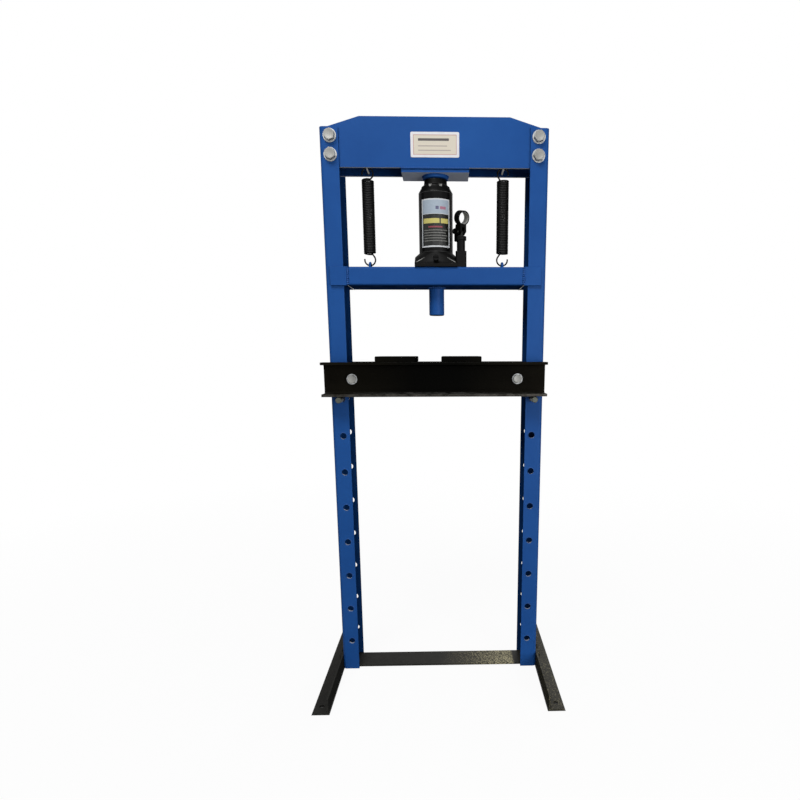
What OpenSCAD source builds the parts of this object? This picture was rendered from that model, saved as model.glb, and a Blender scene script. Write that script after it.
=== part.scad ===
// Bottle-jack shop press: an H-frame of two channel posts, a fixed head, a sliding press beam
// that carries the jack, two return springs and a bed that rests on pins.
// Millimetres, +Z up, +X to the right, the front faces -Y, origin on the floor under the middle.

/* [Posts] */
// Width over the outer faces of the two posts
frame_w = 490; // [460:1:560]
// Height of a post
post_h = 1255; // [1220:1:1400]
// Depth of a post, front to back
post_d = 80; // [74:0.5:90]
// Width of a post's flange
post_f = 40; // [38:0.5:46]
// Wall of a post
post_t = 5; // [4:0.25:6]
// Outer radius of a post's bends
post_r = 8; // [7:0.5:12]

/* [Pin holes and pins] */
// Diameter of a bed pin
pin_d = 14; // [12:0.25:16]
// Clearance of a pin in its hole, on the diameter
pin_play = 1; // [0.6:0.1:1.6]
// Rows of pin holes in each post
pin_rows = 8; // [4:1:8]
// Distance between two rows
pin_pitch = 86.5; // [70:0.5:88]
// Height of the top row, where the pins sit
pin_top_z = 682; // [670:1:720]
// Distance of the holes from the post's outer face
pin_edge = 24.5; // [20:0.25:28]
// Least opening between the press plates and the press head, which sets the row in use
daylight = 80; // [40:1:400]
// How far a pin stands out in front of and behind the post
pin_out = 43; // [36:0.5:60]
// Chamfer on a pin's ends
pin_chamfer = 1.2; // [0.5:0.1:2]

/* [Feet and base tie] */
// Length of a foot, front to back
foot_len = 460; // [380:1:560]
// Width of a foot's leg on the floor and height of the leg on the post
foot_leg = 36; // [34:0.5:50]
// Wall of a foot
foot_t = 4; // [3:0.25:6]
// Root radius between a foot's legs
foot_root_r = 5; // [2:0.5:8]
// Diameter of a floor hole
floor_hole_d = 11; // [8:0.5:14]
// Distance of a floor hole from the foot's end
floor_hole_end = 25; // [15:0.5:50]
// Distance of a floor hole from the foot's outer edge
floor_hole_edge = 16; // [12:0.5:18]
// Width of the base tie, front to back
tie_w = 62; // [58:0.5:63]
// Wall of the base tie
tie_t = 5; // [3:0.25:6]
// Height of the base tie's upturned ends
tie_up = 40; // [36:0.5:60]
// Outer radius of the base tie's bends
tie_r = 9; // [8:0.5:12]
// Diameter of a foot bolt
foot_bolt_d = 10; // [8:0.5:12]
// Distance between the two foot bolts of a post
foot_bolt_gap = 36; // [30:0.5:38]
// Height of the foot bolts above the floor
foot_bolt_z = 22; // [20:0.25:24]

/* [Head] */
// Height of a head plate
head_h = 100; // [90:0.5:120]
// How far the head stands above the posts
head_rise = 22; // [12:0.5:40]
// Wall of a head plate
head_t = 6; // [4:0.25:8]
// Length of a head plate's level top edge
head_top_w = 321; // [240:1:380]
// Drop of the slanted top edge at the plate's ends
head_drop = 23; // [10:0.5:30]
// Gap between a head plate's end and the post's web
head_end_gap = 3; // [1:0.25:5]
// Diameter of a head bolt
head_bolt_d = 14; // [12:0.25:16]
// Distance of the head bolts from the post's outer face
head_bolt_edge = 22.5; // [20:0.25:24]
// Distance of the upper head bolts from the post's top
head_bolt_down = 18; // [16:0.5:26]
// Distance between the two head bolts of a post
head_bolt_gap = 37; // [32:0.5:45]
// Width of the bearing plate under the head
bearing_w = 147; // [110:1:180]
// Depth of the bearing plate
bearing_d = 66; // [64:0.5:70]
// Thickness of the bearing plate
bearing_t = 9; // [6:0.25:14]
// Outer diameter of the ring that holds the jack's saddle
ring_od = 57; // [55:0.5:70]
// Height of that ring
ring_h = 8; // [5:0.25:9]
// Width of the bare plate on the head's front
name_w = 104; // [80:1:140]
// Height of the bare plate
name_h = 50; // [30:0.5:60]
// Thickness of the bare plate
name_t = 0.8; // [0.5:0.1:1.5]
// Corner radius of the bare plate
name_r = 3; // [1:0.5:6]
// Height of the bare plate's middle above the head's lower edge
name_up = 45; // [34:0.5:55]

/* [Press beam] */
// Gap between an end of the press beam and the post's edge
beam_gap = 10; // [7:0.5:20]
// Height of the press beam
beam_h = 40; // [36:0.5:50]
// Wall of the press beam
beam_t = 4; // [3:0.25:6]
// Outer corner radius of the press beam
beam_r = 5; // [2:0.5:8]
// Width of a guide plate
guide_w = 39; // [30:0.5:42]
// Thickness of a guide plate
guide_t = 5; // [4:0.25:8]
// Running gap between a guide plate and the post
guide_gap = 1; // [0.5:0.1:2]
// Diameter of the press head
press_d = 34.6; // [30:0.2:44]
// Length of the press head below the beam
press_len = 62; // [50:0.5:70]
// Chamfer on the press head's lower edge
press_chamfer = 1.5; // [0.5:0.1:3]

/* [Return springs] */
// Distance of a spring inside the post's edge
spring_in = 55; // [35:1:85]
// Outer diameter of a spring
spring_od = 27.5; // [22:0.5:30]
// Diameter of the spring wire
wire_d = 3.4; // [2.4:0.1:3.8]
// Pitch of the coils, as a multiple of the wire
coil_pitch = 1.03; // [1.01:0.01:1.3]
// Diameter of the rods that the springs hang on
head_rod_d = 4; // [3:0.25:6]
// Height of the rods above the head plates' lower edges
head_rod_up = 5; // [3:0.5:10]
// Diameter of the eyes' bent rod
rod_d = 6; // [5:0.25:8]
// Radius of an eye's bend, to the middle of the rod
eye_r = 8; // [6:0.25:10]
// Height of an eye's rod above the beam, to its middle
eye_up = 13.3; // [13:0.1:18]
// Clearance of a hook on its rod or eye
hook_play = 0.3; // [0.2:0.05:0.6]

/* [Bed] */
// How far a bed channel runs past each post, with the bed in the middle
bed_over = 7.5; // [2.5:0.5:55]
// Height of a bed channel
bed_h = 76; // [60:0.5:90]
// Width of a bed channel's flanges
bed_f = 43; // [34:0.5:48]
// Wall of a bed channel's web
bed_t = 5; // [4:0.25:7]
// Thickness of a bed channel's flanges
bed_flange_t = 6; // [4:0.25:8]
// Root radius of a bed channel
bed_root_r = 5; // [2:0.5:8]
// Gap between a bed channel and the post
bed_gap = 2; // [1:0.25:4]
// How far the loose bed stands off the middle
bed_shift = -5; // [-6:0.5:6]
// Distance of a bed bolt inside the post's edge, with the bed in the middle
bed_bolt_in = 16; // [15:0.5:50]
// Diameter of a bed bolt
bed_bolt_d = 12; // [8:0.5:14]
// Outer diameter of the spacer tube on a bed bolt
spacer_d = 18; // [17:0.25:19]
// Width of a press plate
plate_w = 90; // [60:0.5:100]
// Depth of a press plate
plate_d = 150; // [110:1:170]
// Thickness of a press plate
plate_t = 13; // [8:0.25:18]
// Place of the left press plate, from the bed's middle
left_plate_x = -88; // [-130:0.5:-60]
// Place of the right press plate, from the bed's middle
right_plate_x = 60; // [50:0.5:130]
// Chamfer on a press plate's edges
plate_chamfer = 1.5; // [0.5:0.1:3]

/* [Jack] */
// Width of the jack's base
base_w = 94; // [88:0.5:110]
// Depth of the jack's base
base_d = 100; // [92:0.5:110]
// Height of the jack's base
base_h = 33.5; // [30:0.5:40]
// Height of the level foot around the base
base_foot_h = 6.5; // [4:0.5:9]
// Height of the upright sides of the base
base_side_h = 23; // [16:0.5:26]
// Depth of the upright sides of the base
base_side_d = 40; // [24:0.5:60]
// Outer diameter of the oil reservoir
res_d = 76; // [72:0.5:84]
// Wall of the oil reservoir
res_t = 3; // [2:0.25:4]
// Length of the oil reservoir
res_h = 124.5; // [112:0.5:150]
// Thickness of the two reservoir gaskets
gasket_t = 1; // [0.6:0.1:2]
// Diameter of the ram
ram_d = 34; // [28:0.5:36]
// Bore of the pressure cylinder
bore_d = 42; // [40:0.5:44]
// Wall of the pressure cylinder
cyl_t = 5; // [4:0.25:6]
// Depth of the pressure cylinder's seat in the base
cyl_seat = 21; // [14:0.5:24]
// Height of the ram's piston
piston_h = 15; // [10:0.5:20]
// Oil space under the piston
oil_gap = 8; // [4:0.5:14]
// Height of the top nut
nut_h = 28.5; // [26:0.5:32]
// Diameter of the top nut's shoulder
nut_mid_d = 63; // [60:0.5:66]
// Diameter of the top nut's neck
nut_top_d = 50; // [47:0.5:52]
// Height of the ram's saddle
saddle_h = 8; // [6:0.25:9]
// Diameter of the ram's saddle
saddle_d = 45; // [42:0.5:46]
// Gap between the saddle and the top nut
saddle_gap = 1; // [0.5:0.1:2]
// Clearance of the saddle in its ring, on the diameter
saddle_play = 2; // [1:0.25:3]
// Width of the label, along its curve
label_w = 69; // [40:1:80]
// Height of the label
label_h = 100; // [60:1:105]
// Height of the label's lower edge above the base
label_up = 9; // [3:0.5:15]
// Thickness of the label
label_t = 0.3; // [0.2:0.05:0.6]
// Thickness of the glue under the label
glue_t = 0.05; // [0.02:0.01:0.2]
// Diameter of the release valve's head
valve_d = 13; // [10:0.5:16]
// Length of the release valve's head in front of the base
valve_out = 8; // [6:0.5:14]
// Height of the release valve above the beam
valve_z = 17; // [14:0.5:20]

/* [Pump] */
// Place of the pump, to the right of the ram
pump_x = 55.5; // [54:0.5:64]
// Place of the pump, in front of the ram
pump_y = 32; // [30:0.5:36]
// Width of the pump's block on the base
pump_block_w = 24; // [22:0.5:28]
// Height of the pump's block
pump_block_h = 33.5; // [32:0.5:38]
// Outer diameter of the pump cylinder
pump_d = 18.5; // [17:0.25:19.5]
// Height of the pump cylinder's top above the beam
pump_top = 63.5; // [60:0.5:65.5]
// Diameter of the plunger
plunger_d = 10; // [8:0.25:11]
// Diameter of the collar on the pump cylinder
collar_d = 24; // [22:0.25:26]
// Height of the lever's fulcrum above the beam
fulcrum_z = 78; // [77.5:0.25:81]
// Lever arm from the fulcrum to the plunger
arm = 16; // [15:0.25:17]
// Diameter of the fulcrum pin and the plunger pin
link_pin_d = 5; // [4:0.25:5.5]
// Thickness of the fulcrum's ear and the plunger's eye
ear_t = 6; // [5:0.25:7]
// Thickness of a lever cheek
cheek_t = 4.4; // [3:0.1:4.8]
// Radius of a lever cheek round its pins
cheek_r = 5.5; // [5:0.1:6]
// Turn of the lever away from straight ahead
lever_yaw = 35; // [30:1:45]
// Swing of the lever from its lowest place
lever_swing = 30; // [20:1:30]
// Outer diameter of the handle socket
socket_od = 30; // [28:0.5:31]
// Bore of the handle socket
socket_id = 24; // [18:0.5:25]
// Length of the handle socket
socket_len = 16; // [12:0.5:17]
// Height of the handle socket above the fulcrum
socket_up = 25.5; // [24:0.5:28]
// Place of the handle socket, in front of the plunger
socket_fwd = 3; // [2:0.5:6]
// Dip of the handle socket's front end at the lowest place
socket_dip = 13; // [0:1:20]

/* [Fits] */
// Running clearance of a shaft in its bore, on the diameter
run_play = 0.1; // [0.04:0.02:0.2]
// Clearance between moving neighbours
move_gap = 0.6; // [0.4:0.05:1]
// Clearance of a bolt in its hole, on the diameter
bolt_play = 1; // [0.4:0.1:1.6]
// Clearance of a bolt in its nut, on the diameter
thread_play = 0.2; // [0.1:0.05:0.3]
// Rest gap between the bed and its pins
rest_gap = 0.3; // [0.2:0.05:0.5]

/* [Hidden] */
$fn = 64;
EPS = 0.01;

FRAME_BLUE = [0.10, 0.27, 0.62];
BED_BLACK = [0.10, 0.10, 0.11];
JACK_BLACK = [0.07, 0.07, 0.08];
FOOT_GREY = [0.22, 0.22, 0.23];
STEEL = [0.70, 0.71, 0.72];
RUBBER = [0.05, 0.05, 0.05];

// Frame
post_x = frame_w / 2;
post_in = post_d / 2 - post_t;
pin_x = post_x - pin_edge;
pin_hole_d = pin_d + pin_play;
head_bolt_x = post_x - head_bolt_edge;
head_bolt_zs = [post_h - head_bolt_down, post_h - head_bolt_down - head_bolt_gap];
foot_bolt_ys = [-foot_bolt_gap / 2, foot_bolt_gap / 2];
floor_hole_x = post_x + foot_leg - floor_hole_edge;
floor_hole_y = foot_len / 2 - floor_hole_end;

// Head
head_top = post_h + head_rise;
head_low = head_top - head_h;
head_half = post_x - post_t - head_end_gap;
bearing_low = head_low - bearing_t;
ring_id = saddle_d + saddle_play;

// Jack, from the saddle down to the beam
jack_h = base_h + res_h + nut_h + saddle_gap + saddle_h;
beam_top = bearing_low - jack_h;
beam_low = beam_top - beam_h;
beam_len = frame_w - 2 * (post_f + beam_gap);
beam_d = post_d + 2 * (guide_gap + guide_t);
base_top = beam_top + base_h;
res_top = base_top + res_h;
nut_top = res_top + nut_h;
cyl_low = base_top - cyl_seat;
cyl_d = bore_d + 2 * cyl_t;
cyl_top = res_top + nut_h / 2;
ram_low = cyl_low + oil_gap;
nut_clamp_z = res_top + 0.46 * nut_h;
nut_neck_z = res_top + 0.65 * nut_h;
wiper_d = ram_d + 8;
wiper_h = 4;
wiper_z = nut_top - wiper_h - 1;
seal_w = 3;
seal_h = 5;

// Pump and lever, in a frame that is turned so that +X runs along the lever
pump_top_z = beam_top + pump_top;
block_top = beam_top + pump_block_h;
fulcrum = beam_top + fulcrum_z;
plunger_low_z = block_top - 16;
half_swing = lever_swing / 2;
pin_rest_z = fulcrum - arm * tan(half_swing);
slot_reach = arm / cos(half_swing);
link_hole_d = link_pin_d + run_play;
cheek_in = ear_t / 2 + move_gap;
cheek_out = cheek_in + cheek_t;
collar_h = 8;
collar_top = pump_top_z + 1.5;
socket_z = fulcrum + socket_up;
crown_low = fulcrum + cheek_r - 0.5;
side_w = plunger_d / 2 + 4;
crown_top = socket_z - socket_id / 2 - 0.5;

// Springs
spring_x = post_x - post_f - spring_in;
hook_r = (spring_od - wire_d) / 2;
head_in = post_in - head_t;
rod_z = head_low + head_rod_up;
eye_z = beam_top + eye_up;
top_hook_z = rod_z + head_rod_d / 2 + hook_play + wire_d / 2 - hook_r;
low_hook_z = eye_z - rod_d / 2 - hook_play - wire_d / 2 + hook_r;
spring_mid_z = (top_hook_z + low_hook_z) / 2;
hook_lift = hook_r + wire_d / 2;
coil_half = (top_hook_z - low_hook_z) / 2 - hook_lift;
coil_rise = wire_d * coil_pitch;
// Whole turns on each side of the middle, plus the part turn that leads into a hook
half_turns = floor(coil_half / coil_rise - 0.75) + 0.75;
SPRING_STEPS = 10;
WIRE_SIDES = 4;

// Bed, on the highest row of pins that leaves the press head its opening
plates_over_pin = pin_d / 2 + rest_gap + bed_h + plate_t;
top_row_opening = beam_low - press_len - pin_top_z - plates_over_pin;
bed_row = min(pin_rows - 1, max(0, ceil((daylight - top_row_opening) / pin_pitch)));
pin_z = pin_top_z - bed_row * pin_pitch;
bed_len = frame_w + 2 * bed_over;
bed_bolt_x = post_x - post_f - bed_bolt_in;
bed_low = pin_z + pin_d / 2 + rest_gap;
bed_top = bed_low + bed_h;
bed_in = post_d / 2 + bed_gap;
bed_bolt_z = bed_low + bed_h / 2;
pin_len = post_d + 2 * pin_out;

// Helpers

// Rectangle from x = 0 to f, middled on y, with its two corners at x = 0 rounded
module rounded_half(d, f, r) {
    translate([r, -d / 2]) square([f - r, d]);
    translate([0, -d / 2 + r]) square([f, d - 2 * r]);
    for (s = [-1, 1]) translate([r, s * (d / 2 - r)]) circle(r);
}

// Bent channel with its web at x = 0 and its mouth towards +x
module bent_channel(d, f, t, r) {
    difference() {
        rounded_half(d, f, r);
        translate([t, 0]) rounded_half(d - 2 * t, f, r - t);
    }
}

// Rolled channel with square corners outside and root radii inside
module rolled_channel(h, f, web, flange, root) {
    difference() {
        translate([0, -h / 2]) square([f, h]);
        translate([web, 0]) rounded_half(h - 2 * flange, f, root);
    }
}

// Rectangle with rounded corners, middled
module rounded_rect(w, h, r) {
    square([w - 2 * r, h], center = true);
    square([w, h - 2 * r], center = true);
    for (sx = [-1, 1], sy = [-1, 1]) translate([sx * (w / 2 - r), sy * (h / 2 - r)]) circle(r);
}

module along_x() { rotate([0, 90, 0]) children(); }
module along_y() { rotate([-90, 0, 0]) children(); }

function washer_t(d) = 0.18 * d;
function washer_d(d) = 2 * d;
function nut_t(d) = 0.8 * d;
function bolt_head_t(d) = 0.65 * d;

module hexagon(across, h) { cylinder(d = across / cos(30), h = h, $fn = 6); }

// Bolt along +z, its head below z = 0, long enough for its grip, two washers and a nut
module hex_bolt(d, grip) {
    translate([0, 0, -bolt_head_t(d)]) hexagon(1.5 * d, bolt_head_t(d));
    cylinder(d = d, h = grip + 2 * washer_t(d) + nut_t(d) + d / 5);
}

module hex_nut(d) {
    difference() {
        hexagon(1.5 * d, nut_t(d));
        translate([0, 0, -1]) cylinder(d = d + thread_play, h = nut_t(d) + 2);
    }
}

module washer(d) {
    difference() {
        cylinder(d = washer_d(d), h = washer_t(d));
        translate([0, 0, -1]) cylinder(d = d + bolt_play, h = washer_t(d) + 2);
    }
}

// Bar with a chamfer on both ends, along +z
module chamfered_bar(d, h, c) {
    rotate_extrude()
        polygon([[0, 0], [d / 2 - c, 0], [d / 2, c], [d / 2, h - c], [d / 2 - c, h], [0, h]]);
}

// Posts, feet and base tie

module post(side) {
    color(FRAME_BLUE) difference() {
        translate([side * post_x, 0, 0]) mirror([side > 0 ? 1 : 0, 0, 0])
            linear_extrude(post_h) bent_channel(post_d, post_f, post_t, post_r);
        for (i = [0 : pin_rows - 1])
            translate([side * pin_x, -post_d, pin_top_z - i * pin_pitch])
                along_y() cylinder(d = pin_hole_d, h = 2 * post_d);
        for (z = head_bolt_zs) translate([side * head_bolt_x, -post_d, z])
            along_y() cylinder(d = head_bolt_d + bolt_play, h = 2 * post_d);
        for (y = foot_bolt_ys) translate([side * post_x - post_f, y, foot_bolt_z])
            along_x() cylinder(d = foot_bolt_d + bolt_play, h = 2 * post_f);
    }
}

module left_post() { post(-1); }
module right_post() { post(1); }

// Angle with one leg on the floor and one leg flat against the post's web
module foot(side) {
    color(FOOT_GREY) difference() {
        mirror([side > 0 ? 0 : 1, 0, 0]) translate([post_x, foot_len / 2, 0]) rotate([90, 0, 0])
            linear_extrude(foot_len) difference() {
                square(foot_leg);
                translate([foot_t, foot_t]) difference() {
                    square(foot_leg);
                    difference() {
                        square(foot_root_r);
                        translate([foot_root_r, foot_root_r]) circle(foot_root_r);
                    }
                }
            }
        for (sy = [-1, 1]) translate([side * floor_hole_x, sy * floor_hole_y, -1])
            cylinder(d = floor_hole_d, h = foot_t + 2);
        for (y = foot_bolt_ys) translate([side * post_x - foot_leg, y, foot_bolt_z])
            along_x() cylinder(d = foot_bolt_d + bolt_play, h = 2 * foot_leg);
    }
}

module left_foot() { foot(-1); }
module right_foot() { foot(1); }

// Flat bar on the floor with its ends turned up inside the posts
module base_tie() {
    color(FOOT_GREY) difference() {
        translate([0, tie_w / 2, 0]) rotate([90, 0, 0]) linear_extrude(tie_w) rotate(90)
            bent_channel(frame_w - 2 * post_t, tie_up, tie_t, tie_r);
        for (y = foot_bolt_ys) translate([-post_x, y, foot_bolt_z])
            along_x() cylinder(d = foot_bolt_d + bolt_play, h = frame_w);
    }
}

foot_grip = foot_t + post_t + tie_t;
foot_bolt_face = post_x + foot_t;

// Places its child at each foot bolt, with +z running inwards from the foot's face
module at_foot_bolts() {
    for (side = [-1, 1], y = foot_bolt_ys)
        mirror([side > 0 ? 0 : 1, 0, 0]) translate([foot_bolt_face, y, foot_bolt_z])
            rotate([0, -90, 0]) children();
}

module foot_bolts() {
    color(STEEL) at_foot_bolts()
        translate([0, 0, -washer_t(foot_bolt_d)]) hex_bolt(foot_bolt_d, foot_grip);
}

module foot_washers() {
    color(STEEL) at_foot_bolts() {
        translate([0, 0, -washer_t(foot_bolt_d)]) washer(foot_bolt_d);
        translate([0, 0, foot_grip]) washer(foot_bolt_d);
    }
}

module foot_nuts() {
    color(STEEL) at_foot_bolts()
        translate([0, 0, foot_grip + washer_t(foot_bolt_d)]) hex_nut(foot_bolt_d);
}

// Head

module head_plate(side) {
    half_top = head_top_w / 2;
    color(FRAME_BLUE) difference() {
        translate([0, side * (post_in - head_t / 2) + head_t / 2, 0]) rotate([90, 0, 0])
            linear_extrude(head_t) polygon([
                [-half_top, head_top], [half_top, head_top], [head_half, head_top - head_drop],
                [head_half, head_low], [-head_half, head_low], [-head_half, head_top - head_drop]
            ]);
        for (sx = [-1, 1], z = head_bolt_zs) translate([sx * head_bolt_x, -post_d, z])
            along_y() cylinder(d = head_bolt_d + bolt_play, h = 2 * post_d);
    }
}

module head_front_plate() { head_plate(-1); }
module head_back_plate() { head_plate(1); }

// Places its child at each head bolt, with +z running back from the post's front face
module at_head_bolts() {
    for (sx = [-1, 1], z = head_bolt_zs)
        translate([sx * head_bolt_x, -post_d / 2, z]) along_y() children();
}

module head_bolts() {
    color(STEEL) at_head_bolts()
        translate([0, 0, -washer_t(head_bolt_d)]) hex_bolt(head_bolt_d, post_d);
}

module head_washers() {
    color(STEEL) at_head_bolts() {
        translate([0, 0, -washer_t(head_bolt_d)]) washer(head_bolt_d);
        translate([0, 0, post_d]) washer(head_bolt_d);
    }
}

module head_nuts() {
    color(STEEL) at_head_bolts()
        translate([0, 0, post_d + washer_t(head_bolt_d)]) hex_nut(head_bolt_d);
}

module bearing_plate() {
    color(FRAME_BLUE) translate([-bearing_w / 2, -bearing_d / 2, bearing_low])
        cube([bearing_w, bearing_d, bearing_t]);
}

// Ring welded under the bearing plate, with a bevel round its mouth
module saddle_ring() {
    bevel = (ring_od - ring_id) / 4;
    color(FRAME_BLUE) translate([0, 0, bearing_low - ring_h]) rotate_extrude() polygon([
        [ring_id / 2, 0], [ring_od / 2 - bevel, 0], [ring_od / 2, bevel],
        [ring_od / 2, ring_h], [ring_id / 2, ring_h]
    ]);
}

module nameplate() {
    color("ivory") translate([0, -post_in, head_low + name_up]) rotate([90, 0, 0])
        linear_extrude(name_t) rounded_rect(name_w, name_h, name_r);
}

// Rod welded between the two head plates
module spring_rod(side) {
    color(STEEL) translate([side * spring_x, -head_in, rod_z]) along_y()
        cylinder(d = head_rod_d, h = 2 * head_in);
}

module left_spring_rod() { spring_rod(-1); }
module right_spring_rod() { spring_rod(1); }

// Return springs: a close coil and two hooks, swept as one wire about the spring's middle

function unit(v) = v / norm(v);
function bezier(a, b, c, d, t) =
    pow(1 - t, 3) * a + 3 * pow(1 - t, 2) * t * b + 3 * (1 - t) * t * t * c + pow(t, 3) * d;

// Upper half of the wire, from the middle of the coil to the tip of the hook
function coil_points() = [
    for (i = [0 : round(half_turns * SPRING_STEPS)])
        let (a = min(360 * i / SPRING_STEPS, 360 * half_turns))
            [hook_r * cos(a), hook_r * sin(a), coil_half * a / (360 * half_turns)]
];
function hook_points() = let (
    hook_mid = [0, 0, (top_hook_z - low_hook_z) / 2],
    start = [0, -hook_r, coil_half],
    entry = hook_mid + hook_r * [cos(-40), 0, sin(-40)]
) concat(
    [for (i = [1 : 4]) bezier(start, start + [0.6 * hook_r, 0, 0],
        entry - 0.6 * hook_r * [sin(40), 0, cos(40)], entry, i / 4)],
    [for (a = [-10 : 20 : 190]) hook_mid + hook_r * [cos(a), 0, sin(a)]]
);
function half_wire() = concat(coil_points(), hook_points());
// The lower half is the upper half turned over about the x axis
function full_wire() = let (up = half_wire(), n = len(up)) concat(
    [for (i = [n - 1 : -1 : 1]) [up[i][0], -up[i][1], -up[i][2]]], up
);
function tangents(p) = [
    for (i = [0 : len(p) - 1]) unit(p[min(i + 1, len(p) - 1)] - p[max(i - 1, 0)])
];
// Normals that turn as little as possible along the wire
function normals(t) = [
    for (i = 0, n = unit(cross(t[0], [0, 1, 0.01])); i < len(t);
        i = i + 1, n = i < len(t) ? unit(n - (n * t[i]) * t[i]) : n) n
];

module swept_wire(path, d, sides) {
    t = tangents(path);
    n = normals(t);
    last = len(path) - 1;
    rim = [for (i = [0 : last], k = [0 : sides - 1])
        let (a = 360 * k / sides + 45)
            path[i] + d / 2 * (cos(a) * n[i] + sin(a) * cross(t[i], n[i]))];
    walls = [for (i = [0 : last - 1], k = [0 : sides - 1])
        let (m = (k + 1) % sides, a = i * sides, b = a + sides)
            each [[a + k, b + k, b + m], [a + k, b + m, a + m]]];
    ends = [[for (k = [0 : sides - 1]) k], [for (k = [sides - 1 : -1 : 0]) last * sides + k]];
    polyhedron(points = rim, faces = concat(walls, ends));
}

// The hooks open outwards, away from the jack
module spring(side) {
    color(STEEL) translate([side * spring_x, 0, spring_mid_z]) rotate([0, 0, side > 0 ? 180 : 0])
        swept_wire(full_wire(), wire_d, WIRE_SIDES);
}

module left_spring() { spring(-1); }
module right_spring() { spring(1); }

// Press beam

module press_beam() {
    color(FRAME_BLUE) translate([-beam_len / 2, 0, beam_low + beam_h / 2]) along_x()
        linear_extrude(beam_len) difference() {
            rounded_rect(beam_h, beam_d, beam_r);
            rounded_rect(beam_h - 2 * beam_t, beam_d - 2 * beam_t, max(beam_r - beam_t, 0.5));
        }
}

// Plate on the beam's end that runs along the face of a post
module guide(side, face) {
    color(FRAME_BLUE)
        translate([side * (beam_len + guide_w) / 2, face * (beam_d - guide_t) / 2, beam_low + beam_h / 2])
            cube([guide_w, guide_t, beam_h], center = true);
}

module left_front_guide() { guide(-1, -1); }
module left_back_guide() { guide(-1, 1); }
module right_front_guide() { guide(1, -1); }
module right_back_guide() { guide(1, 1); }

module press_head() {
    color(FRAME_BLUE) translate([0, 0, beam_low - press_len]) rotate_extrude() polygon([
        [0, 0], [press_d / 2 - press_chamfer, 0], [press_d / 2, press_chamfer],
        [press_d / 2, press_len], [0, press_len]
    ]);
}

// Staple of bent rod that stands on the beam, in line front to back
module spring_eye(side) {
    leg = eye_up - eye_r;
    color(FRAME_BLUE) translate([side * spring_x, 0, beam_top]) {
        translate([0, 0, leg]) rotate([90, 0, 90]) rotate_extrude(angle = 180)
            translate([eye_r, 0]) circle(d = rod_d);
        for (sy = [-1, 1]) translate([0, sy * eye_r, 0]) cylinder(d = rod_d, h = leg);
    }
}

module left_spring_eye() { spring_eye(-1); }
module right_spring_eye() { spring_eye(1); }

// Jack

// Places its child on the pump's axis, turned so that +x runs along the lever
module at_pump() {
    translate([pump_x, -pump_y, 0]) rotate([0, 0, lever_yaw - 90]) children();
}

// Casting that goes over from an oblong foot to the round of the reservoir
module base_casting() {
    translate([0, 0, beam_top]) hull() {
        linear_extrude(base_foot_h) square([base_w, base_d], center = true);
        linear_extrude(base_side_h) square([base_w, base_side_d], center = true);
        cylinder(d = res_d, h = base_h, $fn = 32);
    }
    translate([pump_x, -pump_y, beam_top]) linear_extrude(pump_block_h)
        rounded_rect(pump_block_w, pump_block_w, 4);
}

module jack_base() {
    color(JACK_BLACK) difference() {
        base_casting();
        translate([0, 0, cyl_low]) cylinder(d = cyl_d, h = cyl_seat + 1);
        at_pump() translate([0, 0, plunger_low_z]) cylinder(d = pump_d, h = pump_block_h);
        translate([0, -base_d, beam_top + valve_z]) along_y()
            cylinder(d = valve_d / 2 + run_play, h = base_d - cyl_d / 2 - 3);
    }
}

module pressure_cylinder() {
    color(STEEL) translate([0, 0, cyl_low]) difference() {
        cylinder(d = cyl_d, h = cyl_top - cyl_low);
        translate([0, 0, -1]) cylinder(d = bore_d + run_play, h = cyl_top - cyl_low + 2);
    }
}

plug_z = res_top - 20;
plug_d = 8;

module oil_reservoir() {
    color(JACK_BLACK) difference() {
        translate([0, 0, base_top + gasket_t]) cylinder(d = res_d, h = res_h - 2 * gasket_t);
        translate([0, 0, base_top - 1]) cylinder(d = res_d - 2 * res_t, h = res_h + 2);
        translate([0, 0, plug_z]) along_y() cylinder(d = plug_d, h = res_d);
    }
}

module gasket(z) {
    color(RUBBER) translate([0, 0, z]) difference() {
        cylinder(d = res_d - 0.6, h = gasket_t);
        translate([0, 0, -1]) cylinder(d = res_d - 2 * res_t, h = gasket_t + 2);
    }
}

module lower_gasket() { gasket(base_top); }
module upper_gasket() { gasket(res_top - gasket_t); }

// Nut that clamps the reservoir, with spanner notches round its shoulder
module top_nut() {
    notches = 8;
    notch_w = 7;
    color(JACK_BLACK) difference() {
        rotate_extrude() difference() {
            polygon([
                [(ram_d + run_play) / 2, res_top], [res_d / 2, res_top], [res_d / 2, res_top + 2],
                [nut_mid_d / 2, nut_clamp_z], [nut_mid_d / 2, nut_clamp_z + 2],
                [nut_top_d / 2 + 1, nut_neck_z], [nut_top_d / 2, nut_top],
                [(ram_d + run_play) / 2, nut_top]
            ]);
            translate([0, res_top - 1]) square([cyl_d / 2 + thread_play, cyl_top - res_top + 1]);
            translate([0, wiper_z]) square([wiper_d / 2, wiper_h]);
        }
        for (i = [0 : notches - 1]) rotate([0, 0, 360 * (i + 0.5) / notches])
            translate([nut_mid_d / 2 - 3, -notch_w / 2, nut_clamp_z - 2]) cube([6, notch_w, 8]);
    }
}

module ram_wiper() {
    color(RUBBER) translate([0, 0, wiper_z]) difference() {
        cylinder(d = wiper_d, h = wiper_h);
        translate([0, 0, -1]) cylinder(d = ram_d + run_play, h = wiper_h + 2);
    }
}

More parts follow.
